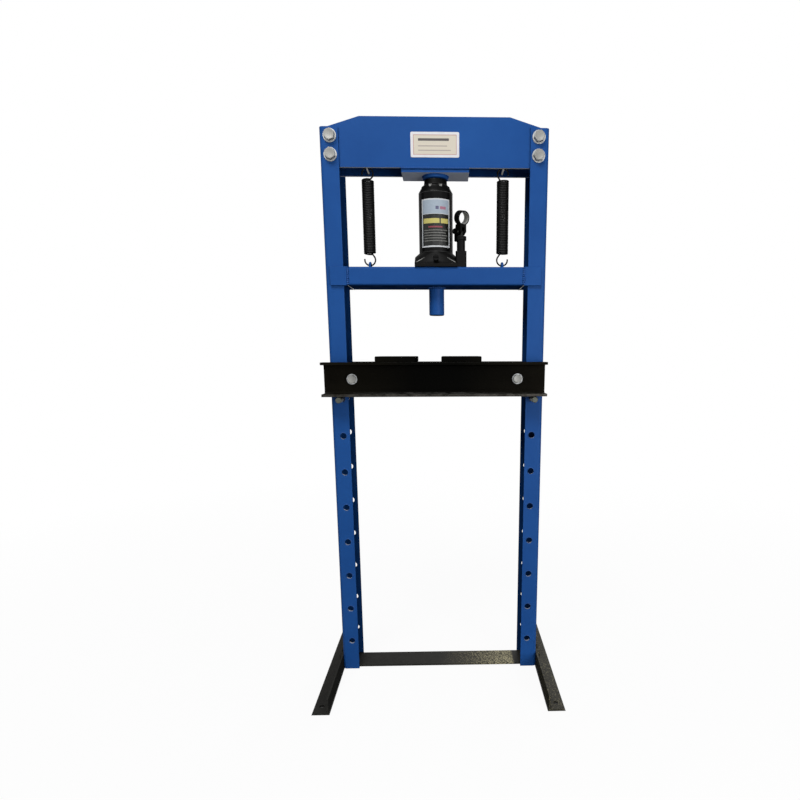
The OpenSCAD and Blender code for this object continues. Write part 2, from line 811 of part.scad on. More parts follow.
// Ram with its piston below and its saddle in the ring of the head
module jack_ram() {
    seal_z = ram_low + (piston_h - seal_h) / 2;
    color(STEEL) rotate_extrude() difference() {
        union() {
            translate([0, ram_low]) square([bore_d / 2, piston_h]);
            translate([0, ram_low]) square([ram_d / 2, bearing_low - saddle_h - ram_low + EPS]);
            translate([0, bearing_low - saddle_h]) square([saddle_d / 2, saddle_h]);
        }
        translate([bore_d / 2 - seal_w, seal_z]) square([seal_w + 1, seal_h]);
    }
}

module ram_seal() {
    color(RUBBER) translate([0, 0, ram_low + (piston_h - seal_h) / 2]) difference() {
        cylinder(d = bore_d, h = seal_h);
        translate([0, 0, -1]) cylinder(d = bore_d - 2 * seal_w, h = seal_h + 2);
    }
}

module oil_plug() {
    color(RUBBER) translate([0, res_d / 2 - res_t, plug_z]) along_y() {
        cylinder(d = plug_d, h = res_t);
        translate([0, 0, res_t]) cylinder(d = plug_d + 4, h = 3);
    }
}

module jack_label() {
    label_angle = label_w / (res_d / 2) * 180 / PI;
    color("aliceblue") translate([0, 0, base_top + label_up]) rotate([0, 0, -90 - label_angle / 2])
        rotate_extrude(angle = label_angle) translate([res_d / 2 + glue_t, 0]) square([label_t, label_h]);
}

// Screw whose slotted head a handle can turn
module release_valve() {
    stem = base_d / 2 - cyl_d / 2 - 4;
    color(STEEL) translate([0, -base_d / 2 - valve_out, beam_top + valve_z]) along_y() difference() {
        union() {
            chamfered_bar(valve_d, valve_out - move_gap, 1);
            cylinder(d = valve_d / 2, h = valve_out + stem);
        }
        translate([-valve_d, -1.5, -1]) cube([2 * valve_d, 3, valve_out / 2 + 1]);
    }
}

// Pump

module pump_cylinder() {
    color(JACK_BLACK) at_pump() translate([0, 0, plunger_low_z]) difference() {
        cylinder(d = pump_d, h = pump_top_z - plunger_low_z);
        translate([0, 0, 4]) cylinder(d = plunger_d + run_play, h = pump_top_z);
    }
}

// Collar on the pump cylinder with the ear that carries the fulcrum pin behind the plunger
module pump_collar() {
    ear_low = collar_top - collar_h;
    color(JACK_BLACK) at_pump() difference() {
        union() {
            translate([0, 0, ear_low]) cylinder(d = collar_d, h = collar_h);
            rotate([90, 0, 0]) translate([0, 0, -ear_t / 2]) linear_extrude(ear_t) {
                polygon([
                    [-arm + cheek_r, fulcrum], [-arm - cheek_r, fulcrum], [-arm - cheek_r, ear_low + 2],
                    [-arm - cheek_r + 2, ear_low], [-pump_d / 2, ear_low], [-pump_d / 2, collar_top]
                ]);
                translate([-arm, fulcrum]) circle(cheek_r);
            }
        }
        translate([0, 0, ear_low - 1]) cylinder(d = pump_d, h = pump_top_z - ear_low + 1);
        translate([0, 0, ear_low]) cylinder(d = plunger_d + run_play, h = 2 * collar_h);
        translate([-arm, pump_d, fulcrum]) rotate([90, 0, 0]) cylinder(d = link_pin_d, h = 2 * pump_d);
    }
}

// Ring between the pump cylinder's top and the collar's lid
module plunger_seal() {
    color(RUBBER) at_pump() translate([0, 0, collar_top]) difference() {
        cylinder(d = plunger_d + 5, h = 1.2);
        translate([0, 0, -1]) cylinder(d = plunger_d + run_play, h = 4);
    }
}

module link_pin(x, z) {
    len = 2 * (cheek_out + 1.5);
    color(STEEL) at_pump() translate([x, len / 2, z]) rotate([90, 0, 0])
        chamfered_bar(link_pin_d, len, 0.5);
}

module fulcrum_pin() { link_pin(-arm, fulcrum); }
module plunger_pin() { link_pin(0, pin_rest_z); }

module pump_plunger() {
    eye_d = plunger_d - 1;
    foot_z = plunger_low_z + 6;
    // The shaft ends under the cheeks, and only the flat eye stands between them
    eye_low = pin_rest_z - cheek_r - 2 * move_gap;
    color(STEEL) at_pump() difference() {
        union() {
            translate([0, 0, foot_z]) cylinder(d = plunger_d, h = eye_low - foot_z);
            intersection() {
                translate([0, 0, foot_z])
                    cylinder(d = plunger_d - run_play, h = pin_rest_z + eye_d - foot_z);
                rotate([90, 0, 0]) translate([0, 0, -ear_t / 2]) linear_extrude(ear_t) {
                    translate([0, pin_rest_z]) circle(d = eye_d);
                    translate([-eye_d / 2, eye_low - 1]) square([eye_d, pin_rest_z - eye_low + 1]);
                }
            }
        }
        translate([0, pump_d, pin_rest_z]) rotate([90, 0, 0]) cylinder(d = link_pin_d, h = 2 * pump_d);
    }
}

// Side of the lever, with a hole for the fulcrum pin and a slot for the plunger pin
module cheek_outline() {
    slot_d = link_pin_d + 2 * move_gap;
    slot_half = (slot_reach - arm) + move_gap;
    difference() {
        union() {
            translate([-arm, fulcrum]) circle(cheek_r);
            translate([0, pin_rest_z]) circle(cheek_r);
            polygon([
                [-arm, fulcrum - cheek_r], [0, pin_rest_z - cheek_r], [side_w, pin_rest_z],
                [side_w, crown_top], [-side_w, crown_top],
                [-side_w - 2, fulcrum + cheek_r], [-arm, fulcrum + cheek_r]
            ]);
        }
        translate([-arm, fulcrum]) circle(d = link_hole_d);
        translate([-arm, fulcrum]) rotate(-half_swing) translate([slot_reach, 0]) {
            square([2 * slot_half, slot_d], center = true);
            for (s = [-1, 1]) translate([s * slot_half, 0]) circle(d = slot_d);
        }
    }
}

// Lever whose short socket takes the handle
module handle_socket() {
    color(JACK_BLACK) at_pump() difference() {
        union() {
            for (s = [-1, 1]) translate([0, s * (cheek_in + cheek_out) / 2 + cheek_t / 2, 0])
                rotate([90, 0, 0]) linear_extrude(cheek_t) cheek_outline();
            translate([-side_w, -cheek_out, crown_low])
                cube([2 * side_w, 2 * cheek_out, crown_top - crown_low]);
            translate([socket_fwd, 0, socket_z]) rotate([0, 90 + socket_dip, 0])
                cylinder(d = socket_od, h = socket_len, center = true);
        }
        translate([socket_fwd, 0, socket_z]) rotate([0, 90 + socket_dip, 0])
            cylinder(d = socket_id, h = 2 * socket_len, center = true);
    }
}

// Bed

module bed_channel(face) {
    color(BED_BLACK) difference() {
        mirror([0, face > 0 ? 0 : 1, 0]) translate([bed_shift - bed_len / 2, bed_in, bed_bolt_z])
            rotate([90, 0, 90]) linear_extrude(bed_len)
                rolled_channel(bed_h, bed_f, bed_t, bed_flange_t, bed_root_r);
        for (sx = [-1, 1]) translate([bed_shift + sx * bed_bolt_x, -post_d, bed_bolt_z])
            along_y() cylinder(d = bed_bolt_d + bolt_play, h = 2 * post_d);
    }
}

module front_bed_channel() { bed_channel(-1); }
module back_bed_channel() { bed_channel(1); }

bed_web_y = bed_in + bed_t;
bed_grip = 2 * bed_web_y;

// Places its child at a bed bolt, with +z running back from the front web's face
module at_bed_bolt(side) {
    translate([bed_shift + side * bed_bolt_x, -bed_web_y, bed_bolt_z]) along_y() children();
}

module bed_bolt(side) {
    color(STEEL) at_bed_bolt(side)
        translate([0, 0, -washer_t(bed_bolt_d)]) hex_bolt(bed_bolt_d, bed_grip);
}

module bed_nut(side) {
    color(STEEL) at_bed_bolt(side)
        translate([0, 0, bed_grip + washer_t(bed_bolt_d)]) hex_nut(bed_bolt_d);
}

module bed_spacer(side) {
    color(BED_BLACK) at_bed_bolt(side) translate([0, 0, bed_t]) difference() {
        cylinder(d = spacer_d, h = bed_grip - 2 * bed_t);
        translate([0, 0, -1]) cylinder(d = bed_bolt_d + bolt_play, h = bed_grip);
    }
}

module left_bed_bolt() { bed_bolt(-1); }
module right_bed_bolt() { bed_bolt(1); }
module left_bed_nut() { bed_nut(-1); }
module right_bed_nut() { bed_nut(1); }
module left_bed_spacer() { bed_spacer(-1); }
module right_bed_spacer() { bed_spacer(1); }

module bed_washers() {
    color(STEEL) for (side = [-1, 1]) at_bed_bolt(side) {
        translate([0, 0, -washer_t(bed_bolt_d)]) washer(bed_bolt_d);
        translate([0, 0, bed_grip]) washer(bed_bolt_d);
    }
}

// Plate with a chamfer round its top and bottom edges in the view from the front
module press_plate(x) {
    half = plate_w / 2;
    c = plate_chamfer;
    color(BED_BLACK) translate([bed_shift + x, plate_d / 2, bed_top]) rotate([90, 0, 0])
        linear_extrude(plate_d) polygon([
            [-half + c, 0], [half - c, 0], [half, c], [half, plate_t - c],
            [half - c, plate_t], [-half + c, plate_t], [-half, plate_t - c], [-half, c]
        ]);
}

module left_press_plate() { press_plate(left_plate_x); }
module right_press_plate() { press_plate(right_plate_x); }

module bed_pin(side) {
    color(STEEL) translate([side * pin_x, -pin_len / 2, pin_z]) along_y()
        chamfered_bar(pin_d, pin_len, pin_chamfer);
}

module left_bed_pin() { bed_pin(-1); }
module right_bed_pin() { bed_pin(1); }

left_post();
right_post();
left_foot();
right_foot();
base_tie();
foot_bolts();
foot_washers();
foot_nuts();
head_front_plate();
head_back_plate();
head_bolts();
head_washers();
head_nuts();
bearing_plate();
saddle_ring();
nameplate();
left_spring_rod();
right_spring_rod();
left_spring();
right_spring();
jack_ram();
ram_seal();
press_beam();
left_front_guide();
left_back_guide();
right_front_guide();
right_back_guide();
press_head();
left_spring_eye();
right_spring_eye();
jack_base();
pressure_cylinder();
oil_reservoir();
lower_gasket();
upper_gasket();
top_nut();
ram_wiper();
oil_plug();
jack_label();
pump_cylinder();
pump_collar();
plunger_seal();
fulcrum_pin();
pump_plunger();
plunger_pin();
handle_socket();
release_valve();
front_bed_channel();
back_bed_channel();
left_bed_bolt();
right_bed_bolt();
left_bed_spacer();
right_bed_spacer();
bed_washers();
left_bed_nut();
right_bed_nut();
left_press_plate();
right_press_plate();
left_bed_pin();
right_bed_pin();
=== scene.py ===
"""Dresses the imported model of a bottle-jack shop press: paint, weld beads, hardware and springs."""
import logging
import math
from dataclasses import dataclass
from enum import Enum
from functools import reduce
from itertools import product
from typing import Iterable, Sequence

import bmesh
import bpy
from mathutils import Matrix, Vector


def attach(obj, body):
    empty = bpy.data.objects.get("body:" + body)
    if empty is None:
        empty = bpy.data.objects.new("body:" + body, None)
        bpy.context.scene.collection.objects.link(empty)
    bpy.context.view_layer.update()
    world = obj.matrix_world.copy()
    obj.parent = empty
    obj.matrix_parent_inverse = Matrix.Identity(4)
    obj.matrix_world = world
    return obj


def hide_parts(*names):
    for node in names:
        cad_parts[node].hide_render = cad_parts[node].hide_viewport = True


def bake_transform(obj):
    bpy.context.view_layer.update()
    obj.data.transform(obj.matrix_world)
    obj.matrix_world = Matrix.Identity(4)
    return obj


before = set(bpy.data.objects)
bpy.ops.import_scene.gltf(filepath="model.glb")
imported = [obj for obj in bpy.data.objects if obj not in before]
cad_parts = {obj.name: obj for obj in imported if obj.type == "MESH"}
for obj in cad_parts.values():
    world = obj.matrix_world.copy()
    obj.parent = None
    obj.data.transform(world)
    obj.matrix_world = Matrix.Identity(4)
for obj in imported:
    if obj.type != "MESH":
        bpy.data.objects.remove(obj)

logging.basicConfig(level=logging.INFO, format="%(message)s")
LOG = logging.getLogger("shop_press")

MM = 0.001
TURN = 2.0 * math.pi
SIDES = (-1, 1)
CORNERS = tuple(product(SIDES, SIDES))
WIDE_RING, SMALL_RING = 48, 24    # points of a ring of weld
RIPPLE_POINTS = 6.0               # points of a weld's path to one ripple
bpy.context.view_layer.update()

Colour = tuple[float, float, float]
Point = tuple[float, float, float]
Range = tuple[float, float]
Band = tuple[float, float, float, float, Colour]
Chain = tuple[Sequence[Point], bool]
Place = tuple[Point, Point]
Ring = Range | list[Range]
Tree, Node, Socket = bpy.types.NodeTree, bpy.types.Node, bpy.types.NodeSocket
Mesh, Object, Material = bpy.types.Mesh, bpy.types.Object, bpy.types.Material
Sockets = bpy.types.bpy_prop_collection
Mark = tuple[Socket, Colour]


class Body(Enum):
    """Bodies of the press that new pieces ride on."""

    FRAME = "frame"
    BEAM = "press_beam"
    LEVER = "pump_lever"
    BED = "bed"


class Slot(Enum):
    """Material slots of the record."""

    FRAME_PAINT = "frame_paint"
    BED_PAINT = "bed_paint"
    FOOT_PAINT = "foot_paint"
    JACK_PAINT = "jack_paint"
    ZINC = "zinc_steel"
    SPRING = "spring_steel"


class Grain(Enum):
    """Skin of a coat of paint."""

    ORANGE_PEEL = "orange_peel"
    PEBBLED = "pebbled"


class Sharp(Enum):
    """Least angle of a sharp edge, in degrees."""

    HEX = 24.0
    PLATE = 50.0
    RIM = 60.0
    NEVER = 180.0


# Node trees


class Graph:
    """Adds and links the nodes of one tree."""

    def __init__(self, tree: Tree) -> None:
        """Keeps the tree."""
        self.tree = tree

    def put(self, socket: Socket, value: object) -> None:
        """Links a socket into another, or sets its value.

        Args:
            socket: Input socket.
            value: Output socket to link, or a plain value. A colour comes without its alpha.
        """
        if isinstance(value, Socket):
            self.tree.links.new(value, socket)
        else:
            socket.default_value = (*value, 1.0) if socket.type == "RGBA" else value

    def fill(self, sockets: Sockets, **values: object) -> None:
        """Links or sets sockets by their names, with _ for a space."""
        for key, value in values.items():
            self.put(sockets[key.replace("_", " ")], value)

    def add(self, kind: str, settings: dict[str, object] | None = None, *values: object,
            **named: object) -> Node:
        """Adds a node.

        Args:
            kind: Node type.
            settings: Properties of the node.
            values: Values or links of its first sockets.
            named: Values or links of other sockets, with _ for a space.

        Returns:
            The new node.
        """
        node = self.tree.nodes.new(kind)
        for key, value in (settings or {}).items():
            setattr(node, key, value)
        for socket, value in zip(node.inputs, values):
            self.put(socket, value)
        self.fill(node.inputs, **named)
        return node

    def group(self, tree: Tree, **inputs: object) -> Sockets:
        """Outputs of a shader group that is placed here."""
        return self.add("ShaderNodeGroup", {"node_tree": tree}, **inputs).outputs

    def math(self, operation: str, *values: object) -> Socket:
        """Result of a math node."""
        return self.add("ShaderNodeMath", {"operation": operation}, *values).outputs[0]

    def times(self, *values: object) -> Socket:
        """Product of values."""
        return reduce(lambda first, second: self.math("MULTIPLY", first, second), values)

    def vector(self, operation: str, *values: object) -> Socket:
        """Result of a vector math node."""
        node = self.add("ShaderNodeVectorMath", {"operation": operation}, *values)
        return node.outputs["Value" if operation == "LENGTH" else "Vector"]

    def within(self, value: object, low: object, high: object) -> Socket:
        """1 where a value is between two others."""
        above = self.math("GREATER_THAN", value, low)
        return self.times(above, self.math("LESS_THAN", value, high))

    def span(self, value: object, low: object, high: object, to_low: object = 0.0,
             to_high: object = 1.0) -> Socket:
        """A value, mapped from one range to another and clamped."""
        return self.add("ShaderNodeMapRange", {"clamp": True}, Value=value, From_Min=low,
                        From_Max=high, To_Min=to_low, To_Max=to_high).outputs["Result"]

    def noise(self, vector: Socket, scale: object, detail: float = 3.0,
              rough: float = 0.55) -> Socket:
        """Value of a noise texture, with its scale in cells to a metre."""
        return self.add("ShaderNodeTexNoise", None, Vector=vector, Scale=scale, Detail=detail,
                        Roughness=rough).outputs[0]

    def patches(self, vector: Socket, scale: object, levels: Range,
                to: tuple[object, object] = (0.0, 1.0), detail: float = 3.0,
                rough: float = 0.55) -> Socket:
        """Noise, stretched from two of its levels to two values."""
        return self.span(self.noise(vector, scale, detail, rough), *levels, *to)

    def axes(self, vector: Socket) -> Sockets:
        """X, Y and Z of a vector."""
        return self.add("ShaderNodeSeparateXYZ", None, Vector=vector).outputs

    def facing(self) -> Sockets:
        """X, Y and Z of the way that the surface looks."""
        return self.axes(self.add("ShaderNodeNewGeometry").outputs["Normal"])

    def bump(self, height: Socket, distance: float) -> Socket:
        """Normal of a raised skin."""
        return self.add("ShaderNodeBump", None, Strength=1.0, Distance=distance,
                        Height=height).outputs["Normal"]

    def blend(self, factor: object, first: object, second: object) -> Socket:
        """Mixes two colours.

        Args:
            factor: Share of the second colour.
            first: Colour or link.
            second: Colour or link.

        Returns:
            The mixed colour.
        """
        node = self.add("ShaderNodeMix", {"data_type": "RGBA"}, factor)
        for socket, value in zip((s for s in node.inputs if s.type == "RGBA"), (first, second)):
            self.put(socket, value)
        return next(s for s in node.outputs if s.type == "RGBA")

    def mix(self, share: object, first: Socket, second: Socket) -> Socket:
        """Mix of two shaders."""
        return self.add("ShaderNodeMixShader", None, share, first, second).outputs[0]

    def seen(self) -> Socket:
        """1 for camera, glossy and transmission rays."""
        path = self.add("ShaderNodeLightPath").outputs
        return reduce(lambda first, second: self.math("MAXIMUM", first, second),
                      (path[f"Is {ray} Ray"] for ray in ("Camera", "Glossy", "Transmission")))


def new_tree(name: str, kind: str, inputs: dict[str, str | float],
             outputs: dict[str, str]) -> tuple[Tree, Graph, Sockets, Sockets]:
    """Makes a node group with its sockets.

    Args:
        name: Name of the group.
        kind: Type of the tree.
        inputs: Socket type or default number of each input.
        outputs: Socket type of each output.

    Returns:
        The tree, its graph, its inputs as they come in, and its outputs to fill.
    """
    tree = bpy.data.node_groups.new(name, f"{kind}NodeTree")
    for label, given in inputs.items():
        plain = given if isinstance(given, str) else type(given).__name__.title()
        made = tree.interface.new_socket(label, in_out="INPUT", socket_type=f"NodeSocket{plain}")
        if not isinstance(given, str):
            made.default_value = given
    for label, plain in outputs.items():
        tree.interface.new_socket(label, in_out="OUTPUT", socket_type=f"NodeSocket{plain}")
    graph = Graph(tree)
    return tree, graph, graph.add("NodeGroupInput").outputs, graph.add("NodeGroupOutput").inputs


class Effects:
    """Shader groups that several finishes share, each built once."""

    def __init__(self) -> None:
        """Builds the groups."""
        self.coat, self.chips, self.dust = self._coat(), self._chips(), self._dust()
        self.dry, self.field, self.pebbles = self._dry(), self._field(), self._pebbles()

    @staticmethod
    def _coat() -> Tree:
        """Makes a coat of paint with cloudy tone, uneven gloss and a fine skin.

        Returns:
            The group.
        """
        tree, g, src, out = new_tree("paint_coat", "Shader", {
            "Vector": "Vector", "Colour": "Color", "Deep Colour": "Color", "Cloud Scale": 9.0,
            "Skin Scale": 900.0, "Gloss Low": 0.3, "Gloss High": 0.5,
        }, {"Colour": "Color", "Roughness": "Float", "Height": "Float"})
        where, clouds = src["Vector"], src["Cloud Scale"]
        tone = g.patches(where, clouds, (0.32, 0.7), detail=5.0, rough=0.6)
        gloss = (src["Gloss Low"], src["Gloss High"])
        g.fill(out, Colour=g.blend(tone, src["Deep Colour"], src["Colour"]),
               Roughness=g.patches(where, g.times(clouds, 4.0), (0.3, 0.72), gloss, detail=4.0),
               Height=g.noise(where, src["Skin Scale"], 2.0, 0.5))
        return tree

    @staticmethod
    def _chips() -> Tree:
        """Rubs paint off along the edges that the pieces mark as worn.

        Returns:
            The group.
        """
        tree, g, src, out = new_tree("worn_edges", "Shader", {
            "Vector": "Vector", "Amount": 0.5, "Chip Scale": 120.0}, {"Mask": "Float"})
        edge = g.add("ShaderNodeAttribute", {"attribute_name": "worn"}).outputs["Fac"]
        crumbs = g.noise(src["Vector"], src["Chip Scale"], 4.0, 0.65)
        low = g.math("SUBTRACT", 0.72, g.times(src["Amount"], 0.3))
        g.fill(out, Mask=g.times(edge, g.span(crumbs, low, 0.74)))
        return tree

    @staticmethod
    def _dust() -> Tree:
        """Settles dust on faces that look up.

        Returns:
            The group.
        """
        tree, g, src, out = new_tree("settled_dust", "Shader", {
            "Vector": "Vector", "Amount": 0.3}, {"Mask": "Float"})
        patch = g.patches(src["Vector"], 45.0, (0.35, 0.7), detail=5.0, rough=0.65)
        g.fill(out, Mask=g.times(g.span(g.facing()["Z"], 0.55, 0.95), patch, src["Amount"]))
        return tree

    @staticmethod
    def _dry() -> Tree:
        """Leaves overspray that lands half dried, and painted shade, on faces that look down or in
        towards the middle of the press.

        Returns:
            The group.
        """
        tree, g, src, out = new_tree("dry_overspray", "Shader", {"Vector": "Vector"},
                                     {"Mask": "Float"})
        away = (-0.5, -0.9)
        face, side = g.facing(), g.axes(src["Vector"])
        dry = g.span(face["Z"], *away)
        for axis in "XY":
            inward = g.times(face[axis], g.math("SIGN", side[axis]))
            dry = g.math("MAXIMUM", dry, g.span(inward, *away))
        g.fill(out, Mask=g.times(dry, g.patches(src["Vector"], 35.0, (0.25, 0.6), (0.85, 1.0))))
        return tree

    @staticmethod
    def _field() -> Tree:
        """Prints a rectangle between four edges.

        Returns:
            The group.
        """
        edges = ("Across", "Up", "Left", "Right", "Low", "High")
        tree, g, src, out = new_tree("printed_field", "Shader", dict.fromkeys(edges, "Float"),
                                     {"Mask": "Float"})
        g.fill(out, Mask=g.times(g.within(src["Across"], src["Left"], src["Right"]),
                                 g.within(src["Up"], src["Low"], src["High"])))
        return tree

    @staticmethod
    def _pebbles() -> Tree:
        """Pebbles the skin of a textured powder coat or of a casting.

        Returns:
            The group.
        """
        tree, g, src, out = new_tree("pebbled_skin", "Shader", {
            "Vector": "Vector", "Pebble Scale": 380.0, "Pit Scale": 90.0,
        }, {"Height": "Float", "Tone": "Float"})
        cells = g.add("ShaderNodeTexVoronoi", {"feature": "SMOOTH_F1"}, Vector=src["Vector"],
                      Scale=src["Pebble Scale"], Smoothness=0.6, Randomness=1.0)
        pits = g.noise(src["Vector"], src["Pit Scale"], 4.0, 0.6)
        height = g.math("ADD", g.times(cells.outputs["Distance"], 0.8), g.times(pits, 0.7))
        g.fill(out, Height=height, Tone=g.span(height, 0.35, 1.0))
        return tree


def new_material(name: str) -> tuple[Material, Graph, Node, Socket]:
    """Makes a material with a Principled shader.

    Args:
        name: Name of the material.

    Returns:
        The material, its graph, its shader and its Object coordinates.
    """
    material = bpy.data.materials.new(name)
    material.use_nodes = True
    graph = Graph(material.node_tree)
    where = graph.add("ShaderNodeTexCoord").outputs["Object"]
    return material, graph, material.node_tree.nodes["Principled BSDF"], where


# Finishes


@dataclass(frozen=True)
class PaintFinish:
    """A painted surface with cloudy tone, chipped edges, a little dust, and painted shade on faces
    that look down or inward.
    """

    name: str
    colour: Colour
    deep: Colour
    chip: Colour
    gloss: Range
    coat: float
    skin_scale: float
    skin_height: float
    chip_amount: float = 0.0
    dust: float = 0.0
    dust_colour: Colour = (0.20, 0.19, 0.17)
    bare: Colour = (0.50, 0.53, 0.60)
    grain: Grain = Grain.ORANGE_PEEL
    pebbles_per_pit: float = 4.0
    cloud_scale: float = 7.0
    # Share of the deep colour kept as painted shade on faces that look down or inward
    thin: float = 0.42
    dulling: float = 0.5

    def marks(self, g: Graph, where: Socket) -> list[Mark]:
        """Masks and colours of rubbed, hazed or painted-light patches: none on a plain coat."""
        return []

    def build(self, effects: Effects) -> Material:
        """Builds the material.

        Args:
            effects: Shared groups.

        Returns:
            The material.
        """
        material, g, shader, where = new_material(self.name)
        coat = g.group(effects.coat, Vector=where, Colour=self.colour, Deep_Colour=self.deep,
                       Cloud_Scale=self.cloud_scale, Skin_Scale=self.skin_scale,
                       Gloss_Low=self.gloss[0], Gloss_High=self.gloss[1])
        colour, height = coat["Colour"], coat["Height"]
        if self.grain is Grain.PEBBLED:
            skin = g.group(effects.pebbles, Vector=where, Pebble_Scale=self.skin_scale,
                           Pit_Scale=self.skin_scale / self.pebbles_per_pit)
            colour, height = g.blend(skin["Tone"], colour, self.colour), skin["Height"]
        dust = g.group(effects.dust, Vector=where, Amount=self.dust)["Mask"]
        chips = g.group(effects.chips, Vector=where, Amount=self.chip_amount)["Mask"]
        dry = g.group(effects.dry, Vector=where)["Mask"]
        # Painted shade: faces that look down or inward take a darker copy of the deep colour
        painted_shade = tuple(self.thin * c for c in self.deep)
        for mask, tone in ((dry, painted_shade), (dust, self.dust_colour), (chips, self.chip),
                           *self.marks(g, where)):
            colour = g.blend(mask, colour, tone)
        dull = g.math("MAXIMUM", dry, dust)
        g.fill(shader.inputs, Base_Color=colour, Normal=g.bump(height, self.skin_height),
               Roughness=g.math("ADD", coat["Roughness"], g.times(dull, self.dulling)),
               Coat_Weight=g.span(dull, 0.0, 1.0, self.coat, 0.0),
               Coat_Roughness=sum(self.gloss) / 2.0, Specular_IOR_Level=0.0)
        return material


@dataclass(frozen=True)
class WornFinish(PaintFinish):
    """Paint that is lighter in one place, in patches, as bare metal, as painted light, or as both, by
    its kind.
    """

    patch_scale: float = 60.0
    patch_levels: Range = (0.3, 0.6)
    patch_to: Range = (0.0, 1.0)
    patch_detail: float = 3.0

    def spot(self, g: Graph, where: Socket) -> Socket:
        """1 in the lighter place, which each kind of it names."""
        raise NotImplementedError

    def marks(self, g: Graph, where: Socket) -> list[Mark]:
        """The lighter place, in patches."""
        patch = g.patches(where, self.patch_scale, self.patch_levels, self.patch_to,
                          self.patch_detail)
        return [(g.times(self.spot(g, where), patch), self.bare)]


@dataclass(frozen=True)
class FacingFinish(WornFinish):
    """Paint that is bare where the surface looks up or down, drawn lighter there also as painted
    light.
    """

    upward: Range = (0.3, 0.75)

    def spot(self, g: Graph, where: Socket) -> Socket:
        """1 where the surface looks that way."""
        return g.span(g.facing()["Z"], *self.upward)


@dataclass(frozen=True)
class BoredFinish(WornFinish):
    """Paint on a lever whose socket is bored to bare steel."""

    middle: Point = (0.057221, -0.034457, 1.076)
    axis: Point = (0.558876, -0.798157, -0.224951)
    radius: float = 0.01225
    skin: float = 0.0002

    def spot(self, g: Graph, where: Socket) -> Socket:
        """1 in the bore, by the distance from its axis."""
        arm = g.vector("CROSS_PRODUCT", g.vector("SUBTRACT", where, self.middle), self.axis)
        return g.span(g.vector("LENGTH", arm), self.radius + self.skin, self.radius)


@dataclass(frozen=True)
class NotchedFinish(WornFinish):
    """Paint on a nut with a painted glint on the floors of its spanner notches."""

    radii: Range = (0.0282, 0.0289)
    heights: Range = (1.1412, 1.1470)

    def spot(self, g: Graph, where: Socket) -> Socket:
        """1 on the floors of the notches, by height and by distance from the nut's axis."""
        away = g.vector("LENGTH", g.vector("MULTIPLY", where, (1.0, 1.0, 0.0)))
        return g.times(g.within(away, *self.radii), g.within(g.axes(where)["Z"], *self.heights))


@dataclass(frozen=True)
class RubbedFinish(PaintFinish):
    """Pebbled paint whose peaks are drawn bright towards one end of the base as a painted highlight.
    """

    rise: Range = (0.0, 0.175)
    fall: Range = (0.187, 0.192)
    again: Range = (0.236, 0.242)
    rest: float = 0.30
    full: float = 0.8
    fleck_scale: float = 350.0
    fleck_low: float = 0.60
    fleck_drop: float = 0.16
    fleck_edge: float = 0.14
    fleck_least: float = 0.08

    def marks(self, g: Graph, where: Socket) -> list[Mark]:
        """The peaks, drawn bright as a painted highlight.

        Args:
            g: Graph of the material.
            where: Object coordinates.

        Returns:
            The mask and its colour.
        """
        x = g.axes(where)["X"]
        # The painted highlight grows towards the right end of the tie, stops where the post's shadow
        # falls and comes back weaker on the right foot
        reach = g.times(g.span(x, *self.rise), g.span(x, *self.fall, 1.0, 0.0))
        reach = g.math("ADD", reach, g.span(x, *self.again, 0.0, self.rest))
        low = g.math("SUBTRACT", self.fleck_low, g.times(reach, self.fleck_drop))
        peaks = g.span(g.noise(where, self.fleck_scale, 1.0), low,
                       g.math("ADD", low, self.fleck_edge), self.fleck_least, 1.0)
        return [(g.times(peaks, g.span(reach, 0.0, self.full)), self.bare)]


@dataclass(frozen=True)
class BedFinish(PaintFinish):
    """Black paint that is hazed towards the ends of the bed and rubbed along its lower lips, lighter
    towards the right as painted light.
    """

    haze_x: Range = (0.05, 0.21)
    haze_colour: Colour = (0.0072, 0.0062, 0.0041)
    lip_y: float = 0.0843
    lip_z: float = 0.6956
    rub_x: Range = (0.05, 0.24)

    def marks(self, g: Graph, where: Socket) -> list[Mark]:
        """The haze, and the rubbed lips with painted light towards the right.

        Args:
            g: Graph of the material.
            where: Object coordinates.

        Returns:
            Each mask and its colour.
        """
        axes = g.axes(where)
        aside, out = (g.math("ABSOLUTE", axes[axis]) for axis in "XY")
        cloud = g.patches(where, 16.0, (0.3, 0.65), (0.55, 1.0), detail=4.0)
        lip = g.times(g.math("GREATER_THAN", out, self.lip_y),
                      g.math("LESS_THAN", axes["Z"], self.lip_z))
        # The rubbed lips grow lighter towards the right, which is painted light
        rub_and_light = g.times(g.patches(where, 55.0, (0.35, 0.62), (0.25, 1.0), detail=5.0, rough=0.65),
                      g.span(axes["X"], *self.rub_x, 0.5, 1.0))
        return [(g.times(g.span(aside, *self.haze_x), cloud), self.haze_colour),
                (g.times(lip, rub_and_light), self.bare)]


@dataclass(frozen=True)
class BareFinish:
    """Bare or plated metal, or rubber, with faint clouds and fine scratches."""

    name: str
    colour: Colour
    dull: Colour
    gloss: Range
    scratch_scale: float = 700.0
    scratch_height: float = 0.00003
    cloud_scale: float = 45.0
    metallic: float = 1.0

    def build(self, effects: Effects) -> Material:
        """Builds the material.

        Args:
            effects: Shared groups.

        Returns:
            The material.
        """
        material, g, shader, where = new_material(self.name)
        coat = g.group(effects.coat, Vector=where, Colour=self.colour, Deep_Colour=self.dull,
                       Cloud_Scale=self.cloud_scale, Skin_Scale=self.scratch_scale,
                       Gloss_Low=self.gloss[0], Gloss_High=self.gloss[1])
        g.fill(shader.inputs, Base_Color=coat["Colour"], Roughness=coat["Roughness"],
               Normal=g.bump(coat["Height"], self.scratch_height), Metallic=self.metallic)
        return material


